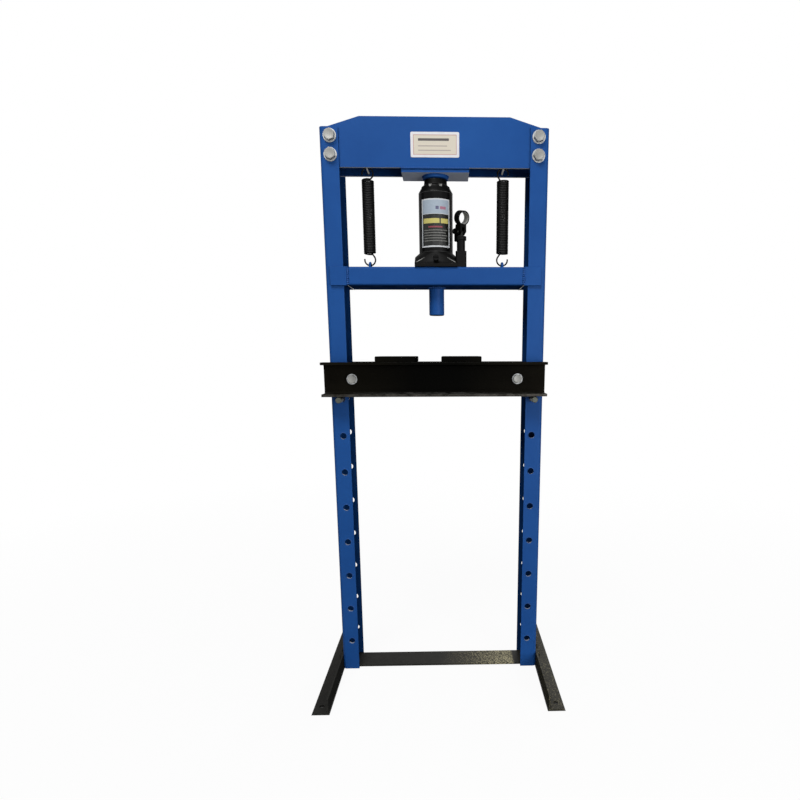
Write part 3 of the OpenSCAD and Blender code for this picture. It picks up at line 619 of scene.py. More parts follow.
@dataclass(frozen=True)
class PrintFinish:
    """Fields of plain colour on a plate or a film."""

    name: str
    ground: Colour
    bands: tuple[Band, ...]
    gloss: Range
    round_radius: float = 0.0
    faded: float = 0.93
    shine: float = 0.3

    def build(self, effects: Effects) -> Material:
        """Builds the material.

        Args:
            effects: Shared groups.

        Returns:
            The material.
        """
        material, g, shader, where = new_material(self.name)
        axes = g.axes(where)
        across = axes["X"]
        if self.round_radius:
            turn = g.math("ARCTAN2", axes["X"], g.times(axes["Y"], -1.0))
            across = g.times(turn, self.round_radius)
        tone = g.patches(where, 60.0, (0.3, 0.75), detail=4.0)
        colour = g.blend(tone, tuple(self.faded * c for c in self.ground), self.ground)
        for left, right, low, high, ink in self.bands:
            field = g.group(effects.field, Across=across, Up=axes["Z"], Left=left, Right=right,
                            Low=low, High=high)
            colour = g.blend(field["Mask"], colour, ink)
        g.fill(shader.inputs, Base_Color=colour, Specular_IOR_Level=self.shine,
               Roughness=g.patches(where, 300.0, (0.3, 0.7), self.gloss, detail=2.0))
        return material


@dataclass(frozen=True)
class FloorFinish:
    """A pale floor that keeps the shadow near the press, has a painted shadow under the feet, and
    goes over to white.
    """

    name: str = "pale_floor"
    colour: Colour = (0.90, 0.90, 0.90)
    speck: float = 0.985
    bounce: Colour = (0.22, 0.22, 0.22)
    white: float = 0.93
    near: float = 0.2
    far: float = 2.4
    foot_x: Range = (0.243, 0.283)
    foot_y: float = 0.231
    grime: Colour = (0.10, 0.10, 0.095)

    def build(self, effects: Effects) -> Material:
        """Builds the material.

        Args:
            effects: Shared groups.

        Returns:
            The material.
        """
        material, g, shader, where = new_material(self.name)
        material.node_tree.nodes.remove(shader)
        tone = g.blend(g.patches(where, 30.0, (0.2, 0.8)),
                       tuple(self.speck * c for c in self.colour), self.colour)
        axes, seen = g.axes(where), g.seen()
        # Painted shadow: under the feet the floor takes a dark colour and no white
        under_foot_shadow = g.group(effects.field, Across=g.math("ABSOLUTE", axes["X"]), Up=axes["Y"],
                        Left=self.foot_x[0], Right=self.foot_x[1], Low=-self.foot_y,
                        High=self.foot_y)["Mask"]
        matt = g.add("ShaderNodeBsdfDiffuse", None,
                     Color=g.blend(under_foot_shadow, g.blend(seen, self.bounce, tone), self.grime))
        white = g.add("ShaderNodeEmission", None, Strength=1.0)
        share = g.times(seen, g.math("SUBTRACT", 1.0, under_foot_shadow),
                        g.span(g.vector("LENGTH", where), self.near, self.far, self.white, 1.0))
        g.fill(material.node_tree.nodes["Material Output"].inputs,
               Surface=g.mix(share, matt.outputs[0], white.outputs[0]))
        return material


ENAMEL = dict(colour=(0.0135, 0.078, 0.284), deep=(0.0100, 0.063, 0.241), chip=(0.05, 0.12, 0.33),
              gloss=(0.34, 0.48), coat=0.16, skin_scale=420.0, skin_height=0.00012,
              chip_amount=0.35, dust=0.10, dust_colour=(0.10, 0.15, 0.28))
IRON = dict(colour=(0.0036, 0.0036, 0.0035), deep=(0.002, 0.002, 0.002), chip=(0.20, 0.20, 0.19),
            gloss=(0.26, 0.42), coat=0.13, skin_scale=300.0, skin_height=0.00045, chip_amount=0.8,
            dust=0.12, dust_colour=(0.035, 0.035, 0.033), grain=Grain.PEBBLED)

# Left, right, lower and upper edge in metres, and colour
FRAME_RED, RULE_GREY = (0.44, 0.22, 0.20), (0.36, 0.31, 0.28)
PLATE_BANDS: tuple[Band, ...] = (
    (-0.0465, 0.0465, 1.2022, 1.2418, FRAME_RED),
    (-0.0453, 0.0453, 1.2034, 1.2406, (0.60, 0.55, 0.46)),
    (-0.036, 0.030, 1.2295, 1.2345, (0.08, 0.07, 0.07)),
    (-0.036, 0.026, 1.2185, 1.2205, RULE_GREY),
    (-0.036, 0.034, 1.2100, 1.2120, RULE_GREY),
)
YELLOW, BAR_GREY, BAR_HEIGHT = (0.52, 0.46, 0.14), (0.16, 0.16, 0.15), 0.0016
LABEL_BANDS: tuple[Band, ...] = (
    (-0.0315, 0.0315, 1.0845, 1.1125, (0.33, 0.39, 0.46)),
    (-0.0315, 0.0315, 1.0180, 1.0835, (0.008, 0.009, 0.008)),
    (0.000, 0.007, 1.0930, 1.0995, (0.10, 0.10, 0.18)),
    (0.0095, 0.0235, 1.0930, 1.0990, (0.34, 0.14, 0.20)),
    (-0.0295, 0.0085, 1.0645, 1.0745, YELLOW),
    (0.0115, 0.0295, 1.0645, 1.0745, YELLOW),
    (-0.017, 0.015, 1.0555, 1.0585, (0.24, 0.04, 0.06)),
    *((-0.0275, right, low, low + BAR_HEIGHT, BAR_GREY) for right, low in (
        (0.0275, 1.0495), (0.0235, 1.0440), (0.0275, 1.0385), (0.0235, 1.0330), (0.0275, 1.0275))),
)


class Finish(Enum):
    """Finishes of the press."""

    BLUE = PaintFinish("blue_enamel", **ENAMEL)
    # Light grey on faces that look down: bare steel, drawn partly as a painted reflection of the
    # floor
    PAD = FacingFinish(
        "bare_underside_enamel", **ENAMEL, upward=(-0.7, -0.85), patch_scale=60.0,
        patch_levels=(0.2, 0.45), patch_to=(0.8, 1.0), patch_detail=4.0)
    # Painted highlight on the lower wall of every pin-hole bore, partly paint worn where the pins
    # rest
    SEAT = FacingFinish(
        "pin_seat_paint", **ENAMEL, bare=(0.36, 0.39, 0.45), upward=(0.3, 0.75), patch_scale=320.0,
        patch_levels=(0.3, 0.6), patch_to=(0.6, 1.0))
    WELD = PaintFinish("painted_weld", **ENAMEL | dict(
        gloss=(0.28, 0.42), coat=0.40, skin_scale=1200.0, skin_height=0.00018, chip_amount=0.0,
        dust=0.0))
    BED = BedFinish(
        "black_bed_paint", (0.0014, 0.0013, 0.0010), (0.0009, 0.0009, 0.0007),
        (0.022, 0.021, 0.018), gloss=(0.42, 0.58), coat=0.03, skin_scale=300.0,
        skin_height=0.0002, chip_amount=0.5, dust=0.85, dust_colour=(0.085, 0.083, 0.078),
        bare=(0.100, 0.093, 0.082))
    # The bare colour of this coat is the painted highlight on the tie and the right foot
    FOOT = RubbedFinish(
        "pebbled_grey_coat", (0.026, 0.0253, 0.0225), (0.008, 0.008, 0.0073), (0.08, 0.076, 0.063),
        gloss=(0.38, 0.54), coat=0.12, skin_scale=420.0, skin_height=0.0004, chip_amount=0.35,
        dust=0.12, dust_colour=(0.07, 0.068, 0.06), bare=(0.42, 0.38, 0.235),
        grain=Grain.PEBBLED, thin=2.4)
    JACK = PaintFinish(
        "black_jack_enamel", (0.0030, 0.0030, 0.0030), (0.0018, 0.0018, 0.0019), (0.05, 0.05, 0.05),
        gloss=(0.20, 0.32), coat=0.16, skin_scale=260.0, skin_height=0.00015, chip_amount=0.6,
        dust=0.08, dust_colour=(0.03, 0.03, 0.028))
    CAST = PaintFinish("black_cast_iron", **IRON)
    # The bare colour of the nut is a painted glint in its spanner notches
    NUT = NotchedFinish("notched_nut_iron", **IRON, bare=(0.34, 0.34, 0.33), patch_scale=260.0,
                        patch_levels=(0.35, 0.6))
    LEVER = BoredFinish("black_cast_lever", **IRON, bare=(0.40, 0.40, 0.38), patch_scale=500.0,
                        patch_levels=(0.3, 0.6), patch_to=(0.7, 1.0))
    SPRING = PaintFinish(
        "blackened_spring_wire", (0.010, 0.010, 0.0095), (0.005, 0.005, 0.005), (0.05, 0.05, 0.05),
        gloss=(0.30, 0.45), coat=0.30, skin_scale=700.0, skin_height=0.00003)
    ZINC = BareFinish("zinc_plate", (0.25, 0.25, 0.24), (0.18, 0.18, 0.17), (0.50, 0.64))
    WASHER = BareFinish("bright_zinc_plate", (0.44, 0.45, 0.46), (0.34, 0.35, 0.35), (0.52, 0.66))
    # Rubbed steel for wires laid along edges as painted highlights
    RUBBED = BareFinish("rubbed_steel", (0.30, 0.30, 0.29), (0.20, 0.20, 0.19), (0.45, 0.6))
    CHROME = BareFinish("ram_chrome_plate", (0.62, 0.63, 0.65), (0.52, 0.53, 0.55), (0.12, 0.2))
    STEEL = BareFinish("turned_steel", (0.085, 0.090, 0.077), (0.05, 0.054, 0.046), (0.40, 0.55))
    OILED = BareFinish("oiled_steel", (0.030, 0.030, 0.028), (0.017, 0.017, 0.016), (0.35, 0.5))
    RUBBER = BareFinish("seal_rubber_black", (0.006, 0.006, 0.006), (0.004, 0.004, 0.004),
                        (0.6, 0.75), scratch_scale=500.0, scratch_height=0.0001, metallic=0.0)
    PLATE = PrintFinish("printed_plate", (0.70, 0.70, 0.72), PLATE_BANDS, (0.35, 0.5))
    LABEL = PrintFinish("printed_film", (0.60, 0.62, 0.64), LABEL_BANDS, (0.2, 0.3), 0.0383)


# Meshes


def put_in_scene(name: str, data: bpy.types.ID) -> Object:
    """Puts a new object in the scene.

    Args:
        name: Name of the object.
        data: Its mesh, lamp or camera.

    Returns:
        The object.
    """
    obj = bpy.data.objects.new(name, data)
    bpy.context.scene.collection.objects.link(obj)
    return obj


def shade(mesh: Mesh, sharp: Sharp) -> None:
    """Shades a mesh smooth, apart from its sharp edges."""
    mesh.polygons.foreach_set("use_smooth", [True] * len(mesh.polygons))
    mesh.set_sharp_from_angle(angle=math.radians(sharp.value))


def keep_mesh(name: str, bm: bmesh.types.BMesh) -> Mesh:
    """Turns a worked mesh into a plain one.

    Args:
        name: Name of the mesh.
        bm: The worked mesh, which is freed.

    Returns:
        The mesh.
    """
    mesh = bpy.data.meshes.new(name)
    bm.to_mesh(mesh)
    bm.free()
    return mesh


def rounded_copy(node: str, width: float, angle: float) -> Mesh:
    """Copies a CAD node with rounded edges, which are marked as worn.

    Args:
        node: Name of the CAD node.
        width: Width of a rounded edge, in millimetres.
        angle: Least angle of an edge that is rounded, in degrees.

    Returns:
        The mesh.
    """
    bm = bmesh.new()
    bm.from_mesh(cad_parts[node].data)
    bmesh.ops.remove_doubles(bm, verts=bm.verts, dist=0.004 * MM)
    bmesh.ops.dissolve_limit(bm, angle_limit=math.radians(0.6), use_dissolve_boundaries=False,
                             verts=bm.verts, edges=bm.edges, delimit=set())
    worn = bm.faces.layers.float.new("worn")
    least = math.radians(angle)
    edges = [e for e in bm.edges if len(e.link_faces) == 2 and e.calc_face_angle(0.0) > least]
    made = bmesh.ops.bevel(bm, geom=edges, offset=width * MM, offset_type="OFFSET", segments=2,
                           profile=0.5, affect="EDGES", clamp_overlap=True, loop_slide=True)
    for face in made["faces"]:
        face[worn] = 1.0
    bmesh.ops.triangulate(bm, faces=[f for f in bm.faces if len(f.verts) > 4])
    mesh = keep_mesh(f"{node}_dressed", bm)
    shade(mesh, Sharp.PLATE)
    return mesh


def chains_mesh(name: str, chains: Iterable[Chain]) -> Mesh:
    """Makes chains of edges for a path tree.

    Args:
        name: Name of the mesh.
        chains: Points of each chain in millimetres, and whether it is closed.

    Returns:
        The mesh.
    """
    verts: list[Vector] = []
    edges: list[tuple[int, int]] = []
    for points, closed in chains:
        first = len(verts)
        verts += [Vector(p) * MM for p in points]
        last = len(verts) - 1
        edges += [(i, i + 1) for i in range(first, last)]
        if closed:
            edges.append((last, first))
    mesh = bpy.data.meshes.new(name)
    mesh.from_pydata(verts, edges, [])
    return mesh


def points_mesh(name: str, places: Sequence[Place]) -> Mesh:
    """Makes points for the hardware tree.

    Args:
        name: Name of the mesh.
        places: Place in millimetres and turn in degrees of each point.

    Returns:
        The mesh.
    """
    mesh = bpy.data.meshes.new(name)
    mesh.from_pydata([Vector(p) * MM for p, _ in places], [], [])
    turn = mesh.attributes.new("turn", "FLOAT_VECTOR", "POINT")
    turn.data.foreach_set("vector", [math.radians(a) for _, t in places for a in t])
    return mesh


def turns(count: int) -> list[float]:
    """Angles of evenly spaced points on a circle, in radians."""
    return [TURN * i / count for i in range(count)]


def ring(centre: Point, radius: float, count: int, upright: bool = False) -> Chain:
    """Makes a closed chain of points on a circle.

    Args:
        centre: Its middle.
        radius: Its radius.
        count: How many points.
        upright: Whether it stands across the press, and doesn't lie level.

    Returns:
        The chain.
    """
    x, y, z = centre
    pairs = [(radius * math.cos(a), radius * math.sin(a)) for a in turns(count)]
    return [(x + u, y, z + v) if upright else (x + u, y + v, z) for u, v in pairs], True


def lathe(name: str, shells: Iterable[Sequence[Ring]], count: int) -> Mesh:
    """Skins rings that lie round +z.

    Args:
        name: Name of the mesh.
        shells: Rings of each shell, each a radius and a height in millimetres, or a list of
            them, one for each angle. A shell that ends in its first ring is closed.
        count: Points of a ring.

    Returns:
        The mesh.
    """
    bm = bmesh.new()
    for rings in shells:
        rows = []
        for given in rings:
            pairs = given if isinstance(given, list) else [given] * count
            rows.append([bm.verts.new(Vector((r * math.cos(a), r * math.sin(a), z)) * MM)
                         for a, (r, z) in zip(turns(count), pairs)])
        for low, high in zip(rows, rows[1:]):
            for i in range(count):
                j = (i + 1) % count
                bm.faces.new((low[i], low[j], high[j], high[i]))
    bmesh.ops.remove_doubles(bm, verts=bm.verts, dist=0.001 * MM)
    bmesh.ops.recalc_face_normals(bm, faces=bm.faces)
    return keep_mesh(name, bm)


# Geometry node trees


def close_tree(g: Graph, geometry: Socket, src: Sockets, out: Sockets) -> None:
    """Ends a tree with real geometry and its material."""
    real = g.add("GeometryNodeRealizeInstances", None, Geometry=geometry).outputs[0]
    g.fill(out, Geometry=g.add("GeometryNodeSetMaterial", None, Geometry=real,
                               Material=src["Material"]).outputs[0])


def sweep(g: Graph, path: Socket, profile: Node, **inputs: object) -> Socket:
    """A smooth tube with closed ends along a path."""
    tube = g.add("GeometryNodeCurveToMesh", None, Curve=path, Profile_Curve=profile.outputs[0],
                 Fill_Caps=True, **inputs)
    return g.add("GeometryNodeSetShadeSmooth", None, Geometry=tube.outputs[0]).outputs[0]


def bead_tree() -> Tree:
    """Makes the tree that lays a rippled weld bead along each chain of edges.

    Returns:
        The tree.
    """
    tree, g, src, out = new_tree("weld_bead", "Geometry", {
        "Geometry": "Geometry", "Width": 0.004, "Ripple Pitch": 0.0028, "Ripple Depth": 0.22,
        "Unevenness": 0.3, "Seed": 3.0, "Material": "Material"}, {"Geometry": "Geometry"})
    path = g.add("GeometryNodeMeshToCurve", None, Mesh=src["Geometry"]).outputs[0]
    fine = g.add("GeometryNodeResampleCurve", {"mode": "LENGTH"}, Curve=path)
    step = g.math("DIVIDE", src["Ripple Pitch"], RIPPLE_POINTS)
    g.put(next(s for s in fine.inputs if s.name == "Length"), step)
    along = g.add("GeometryNodeSplineParameter").outputs["Length"]
    wave = g.math("SINE", g.times(g.math("DIVIDE", along, src["Ripple Pitch"]), TURN))
    rough = g.add("ShaderNodeTexNoise", {"noise_dimensions": "4D"}, W=src["Seed"], Scale=160.0,
                  Vector=g.add("GeometryNodeInputPosition").outputs[0], Detail=2.0).outputs[0]
    lump = g.times(g.math("SUBTRACT", rough, 0.5), src["Unevenness"])
    swell = g.math("ADD", 1.0, g.math("ADD", lump, g.times(wave, src["Ripple Depth"])))
    radius = g.times(swell, g.math("DIVIDE", src["Width"], 2.0))
    profile = g.add("GeometryNodeCurvePrimitiveCircle", None, Resolution=10, Radius=1.0)
    close_tree(g, sweep(g, fine.outputs[0], profile, Scale=radius), src, out)
    return tree


def wire_tree() -> Tree:
    """Makes the tree that runs a round wire along each chain of edges.

    Returns:
        The tree.
    """
    tree, g, src, out = new_tree("round_wire", "Geometry", {
        "Geometry": "Geometry", "Wire Diameter": 0.003, "Sides": 12, "Material": "Material",
    }, {"Geometry": "Geometry"})
    path = g.add("GeometryNodeMeshToCurve", None, Mesh=src["Geometry"]).outputs[0]
    profile = g.add("GeometryNodeCurvePrimitiveCircle", None, Resolution=src["Sides"],
                    Radius=g.math("DIVIDE", src["Wire Diameter"], 2.0))
    close_tree(g, sweep(g, path, profile), src, out)
    return tree


def row_tree() -> Tree:
    """Makes the tree that sets a pattern at each point, turned by the point and spun on its axis.

    Returns:
        The tree.
    """
    tree, g, src, out = new_tree("hardware_row", "Geometry", {
        "Geometry": "Geometry", "Pattern": "Object", "Spin": 1.0, "Seed": 7, "Material": "Material",
    }, {"Geometry": "Geometry"})
    info = g.add("GeometryNodeObjectInfo", None, Object=src["Pattern"])
    turn = g.add("GeometryNodeInputNamedAttribute", {"data_type": "FLOAT_VECTOR"}, Name="turn")
    base = g.add("FunctionNodeEulerToRotation", None, Euler=turn.outputs["Attribute"])
    spin = g.add("FunctionNodeRandomValue", {"data_type": "FLOAT"}, Seed=src["Seed"])
    low, high = [s for s in spin.inputs if s.enabled and s.name in ("Min", "Max")]
    g.put(low, 0.0)
    g.put(high, src["Spin"])
    about = g.add("FunctionNodeAxisAngleToRotation", None, Axis=(0.0, 0.0, 1.0),
                  Angle=next(s for s in spin.outputs if s.enabled))
    full = g.add("FunctionNodeRotateRotation", {"rotation_space": "LOCAL"},
                 Rotation=base.outputs[0], Rotate_By=about.outputs[0])
    made = g.add("GeometryNodeInstanceOnPoints", None, Points=src["Geometry"],
                 Instance=info.outputs["Geometry"], Rotation=full.outputs[0])
    close_tree(g, made.outputs[0], src, out)
    return tree


class Workshop:
    """Materials and node trees of the press, and the jobs that use them."""

    def __init__(self) -> None:
        """Builds the shared groups, the materials and the trees."""
        self.effects = Effects()
        self.materials = {finish: finish.value.build(self.effects) for finish in Finish}
        self.beads, self.wires, self.rows = bead_tree(), wire_tree(), row_tree()

    @staticmethod
    def hand_over(piece: Object, body: Body, slot: Slot, nodes: Sequence[str] = ()) -> None:
        """Hands a finished piece to the frame.

        Args:
            piece: The piece.
            body: Body that it rides on.
            slot: Material slot of the record; not used.
            nodes: CAD nodes that it stands for.
        """
        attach(piece, body.value)
        if nodes:
            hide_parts(*nodes)
        LOG.info("%-22s %6d faces on %s", piece.name, len(piece.data.polygons), body.value)

    def dress(self, nodes: Iterable[str], finish: Finish, body: Body, slot: Slot, width: float,
              angle: float = 32.0) -> None:
        """Replaces CAD nodes by copies with rounded edges.

        Args:
            nodes: Names of the CAD nodes.
            finish: Finish of the copies.
            body: Body that they ride on.
            slot: Material slot of the copies.
            width: Width of a rounded edge, in millimetres.
            angle: Least angle of an edge that is rounded, in degrees.
        """
        for node in nodes:
            mesh = rounded_copy(node, width, angle)
            mesh.materials.append(self.materials[finish])
            piece = put_in_scene(mesh.name, mesh)
            piece.modifiers.new("even_normals", "WEIGHTED_NORMAL").keep_sharp = True
            self.hand_over(piece, body, slot, [node])

    def paint(self, nodes: Iterable[str], finish: Finish) -> None:
        """Gives CAD nodes that stay in view their finish.

        Args:
            nodes: Names of the CAD nodes.
            finish: Their finish.
        """
        for node in nodes:
            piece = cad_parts[node]
            if not piece.material_slots:
                piece.data.materials.append(self.materials[finish])
            for slot in piece.material_slots:
                slot.material = self.materials[finish]
            LOG.info("%-22s keeps its CAD shape", node)

    def run(self, tree: Tree, name: str, start: Mesh, finish: Finish, sharp: Sharp,
            **inputs: object) -> Object:
        """Runs a tree on a mesh and keeps the result as a plain mesh.

        Args:
            tree: The tree.
            name: Name of the new piece.
            start: Points or chains of edges that it starts from.
            finish: Finish of the new piece.
            sharp: Its sharp edges.
            inputs: Values of the tree's other inputs, with _ for a space.

        Returns:
            The new piece.
        """
        holder = put_in_scene(name, start)
        modifier = holder.modifiers.new("nodes", "NODES")
        modifier.node_group = tree
        keys = {item.name: item.identifier for item in tree.interface.items_tree
                if item.item_type == "SOCKET" and item.in_out == "INPUT"}
        for label, value in inputs.items():
            modifier[keys[label.replace("_", " ")]] = value
        modifier[keys["Material"]] = self.materials[finish]
        bpy.context.view_layer.update()
        graph = bpy.context.evaluated_depsgraph_get()
        mesh = bpy.data.meshes.new_from_object(holder.evaluated_get(graph))
        holder.modifiers.remove(modifier)
        bpy.data.objects.remove(holder)
        shade(mesh, sharp)
        mesh.name = name
        return put_in_scene(name, mesh)

    def weld(self, name: str, chains: Iterable[Chain], body: Body, width: float, pitch: float,
             **inputs: float) -> None:
        """Lays painted weld beads.

        Args:
            name: What they hold, to name them by.
            chains: Chains of points that they follow.
            body: Body that they ride on.
            width: Their width, in millimetres.
            pitch: Their ripple pitch, in millimetres.
            inputs: Values of the tree's other inputs, with _ for a space.
        """
        paths = chains_mesh(f"{name}_weld_paths", chains)
        beads = self.run(self.beads, f"{name}_weld_beads", paths, Finish.WELD, Sharp.NEVER,
                         Width=width * MM, Ripple_Pitch=pitch * MM, **inputs)
        self.hand_over(beads, body, Slot.FRAME_PAINT)

    def wire(self, name: str, chains: Iterable[Chain], finish: Finish, diameter: float,
             sides: int) -> Object:
        """Round wires along chains, with their diameter in millimetres."""
        return self.run(self.wires, name, chains_mesh(f"{name}_paths", chains), finish, Sharp.NEVER,
                        Wire_Diameter=diameter * MM, Sides=sides)

    def row(self, name: str, mesh: Mesh, places: Sequence[Place], finish: Finish, sharp: Sharp,
            spin: float, seed: int) -> Object:
        """Sets a copy of a mesh at each place.

        Args:
            name: Name of the new piece.
            mesh: Mesh to copy.
            places: Place and turn of each copy.
            finish: Finish of the new piece.
            sharp: Its sharp edges.
            spin: Most that a copy is spun on its axis, in radians.
            seed: Seed of the spin.

        Returns:
            The new piece.
        """
        pattern = bpy.data.objects.new(f"{name}_pattern", mesh)
        piece = self.run(self.rows, name, points_mesh(f"{name}_points", places), finish, sharp,
                         Pattern=pattern, Spin=spin, Seed=seed)
        bpy.data.objects.remove(pattern)
        return piece


# Sub-assemblies


@dataclass(frozen=True)
class BoltSet:
    """Hex bolts of one size, each with two washers and a nut, along their own +z."""

    name: str
    size: float
    grip: float
    pitch: float
    places: tuple[Place, ...]
    body: Body
    bolt_nodes: tuple[str, ...]
    washer_nodes: tuple[str, ...]
    nut_nodes: tuple[str, ...]
    seed: int
    finish: Finish = Finish.ZINC
    washer_finish: Finish = Finish.WASHER
    slot: Slot = Slot.ZINC
    around: int = 48
    washer_share: float = 0.18
    head_share: float = 0.65
    nut_share: float = 0.8
    spare_share: float = 0.2
    hex_share: float = 0.75
    turned_share: float = 0.72
    dish_shares: Range = (0.52, 0.58)
    dish: float = 0.25
    turned_angle: float = 30.0
    thread_share: float = 0.55
    thread_steps: int = 6
    thread_end: float = 1.0
    tip_ease: float = 0.8
    washer_play: float = 1.0
    washer_ease: float = 0.25
    nut_play: float = 0.2
    nut_ease: float = 0.6

    @property
    def washer(self) -> float:
        """Thickness of a washer."""
        return self.washer_share * self.size

    @property
    def nut(self) -> Range:
        """Heights of the nut's two faces."""
        low = self.grip + self.washer
        return low, low + self.nut_share * self.size

    def _flats(self, low: float, high: float, both: bool) -> list[Ring]:
        """Makes the rings of a hexagon whose corners are turned off.

        Args:
            low: Height of its lower face, whose corners are turned off.
            high: Height of its upper face.
            both: Whether the upper corners are turned off too.

        Returns:
            Rings for the lathe, from low to high.
        """
        turned, sixth = self.turned_share * self.size, TURN / 6.0
        corners = [self.hex_share * self.size / math.cos(a % sixth - sixth / 2.0)
                   for a in turns(self.around)]
        slope = math.tan(math.radians(self.turned_angle))
        over = [max(0.0, r - turned) * slope for r in corners]
        rings: list[Ring] = [(turned, low), [(r, low + o) for r, o in zip(corners, over)]]
        rings.append([(r, high - both * o) for r, o in zip(corners, over)])
        return rings + [(turned, high)] * both

    def bolt_rings(self) -> list[Ring]:
        """Makes a bolt with a turned head and a cut thread at its end.

        Returns:
            Its rings, from head to tip.
        """
        radius, n, steps = self.size / 2.0, self.around, self.thread_steps
        top = -self.washer
        low = top - self.head_share * self.size
        inner, outer = (share * self.size for share in self.dish_shares)
        start, depth = self.grip - self.size, self.thread_share * self.pitch
        tip = self.nut[1] + self.spare_share * self.size
        rings = [(0.0, low + self.dish), (inner, low + self.dish), (outer, low),
                 *self._flats(low, top, False), (radius, top), (radius, start)]
        for k in range(1, int((tip - self.thread_end - start) / self.pitch * steps)):
            z = start + k * self.pitch / steps
            cut = min(1.0, k / steps) * depth
            groove = [1.0 - abs(2.0 * ((z / self.pitch - i / n) % 1.0) - 1.0) for i in range(n)]
            rings.append([(radius - cut * share, z) for share in groove])
        root = radius - depth
        return rings + [(root, tip - self.tip_ease), (root - self.tip_ease, tip), (0.0, tip)]

    def washer_rings(self, low: float) -> list[Ring]:
        """Makes a washer with eased edges.

        Args:
            low: Height of its lower face.

        Returns:
            Its rings.
        """
        bore, rim, ease = (self.size + self.washer_play) / 2.0, self.size, self.washer_ease
        high = low + self.washer
        return [(bore, low), (rim - ease, low), (rim, low + ease), (rim, high - ease),
                (rim - ease, high), (bore, high), (bore, low)]

    def nut_rings(self) -> list[Ring]:
        """Makes a hex nut turned off at both faces.

        Returns:
            Its rings.
        """
        (low, high), ease = self.nut, self.nut_ease
        bore = (self.size + self.nut_play) / 2.0
        return [(bore, low + ease), (bore + ease, low), *self._flats(low, high, True),
                (bore + ease, high), (bore, high - ease), (bore, low + ease)]

    def build(self, shop: Workshop) -> None:
        """Places the set.

        Args:
            shop: Workshop that does the work.
        """
        sixth = TURN / 6.0
        washers = [self.washer_rings(low) for low in (-self.washer, self.grip)]
        for part, shells, nodes, spin, finish in (
                ("bolt", [self.bolt_rings()], self.bolt_nodes, sixth, self.finish),
                ("washers", washers, self.washer_nodes, 0.0, self.washer_finish),
                ("nuts", [self.nut_rings()], self.nut_nodes, sixth, self.finish)):
            name = f"{self.name}_{part}"
            mesh = lathe(f"{name}_pattern", shells, self.around)
            piece = shop.row(name, mesh, self.places, finish, Sharp.HEX, spin, self.seed)
            shop.hand_over(piece, self.body, self.slot, nodes)


FRONT_TO_BACK = (-90.0, 0.0, 0.0)
BOLT_SETS = (
    BoltSet("head", size=14.0, grip=80.0, pitch=2.0, body=Body.FRAME, bolt_nodes=("head_bolts",),
            washer_nodes=("head_washers",), nut_nodes=("head_nuts",), seed=11,
            places=tuple(((s * 222.5, -40.0, z), FRONT_TO_BACK)
                         for s in SIDES for z in (1237.0, 1200.0))),
    BoltSet("foot", size=10.0, grip=14.0, pitch=1.5, body=Body.FRAME, bolt_nodes=("foot_bolts",),
            washer_nodes=("foot_washers",), nut_nodes=("foot_nuts",), seed=12, finish=Finish.FOOT,
            washer_finish=Finish.FOOT, slot=Slot.FOOT_PAINT,
            places=tuple(((s * 249.0, f * 18.0, 22.0), (0.0, -90.0 * s, 0.0)) for s, f in CORNERS)),
    BoltSet("bed", size=12.0, grip=94.0, pitch=1.75, body=Body.BED, washer_nodes=("bed_washers",),
            bolt_nodes=("left_bed_bolt", "right_bed_bolt"),
            nut_nodes=("left_bed_nut", "right_bed_nut"), seed=14,
            places=tuple(((x, -47.0, 727.3), FRONT_TO_BACK) for x in (-194.0, 184.0))),
)


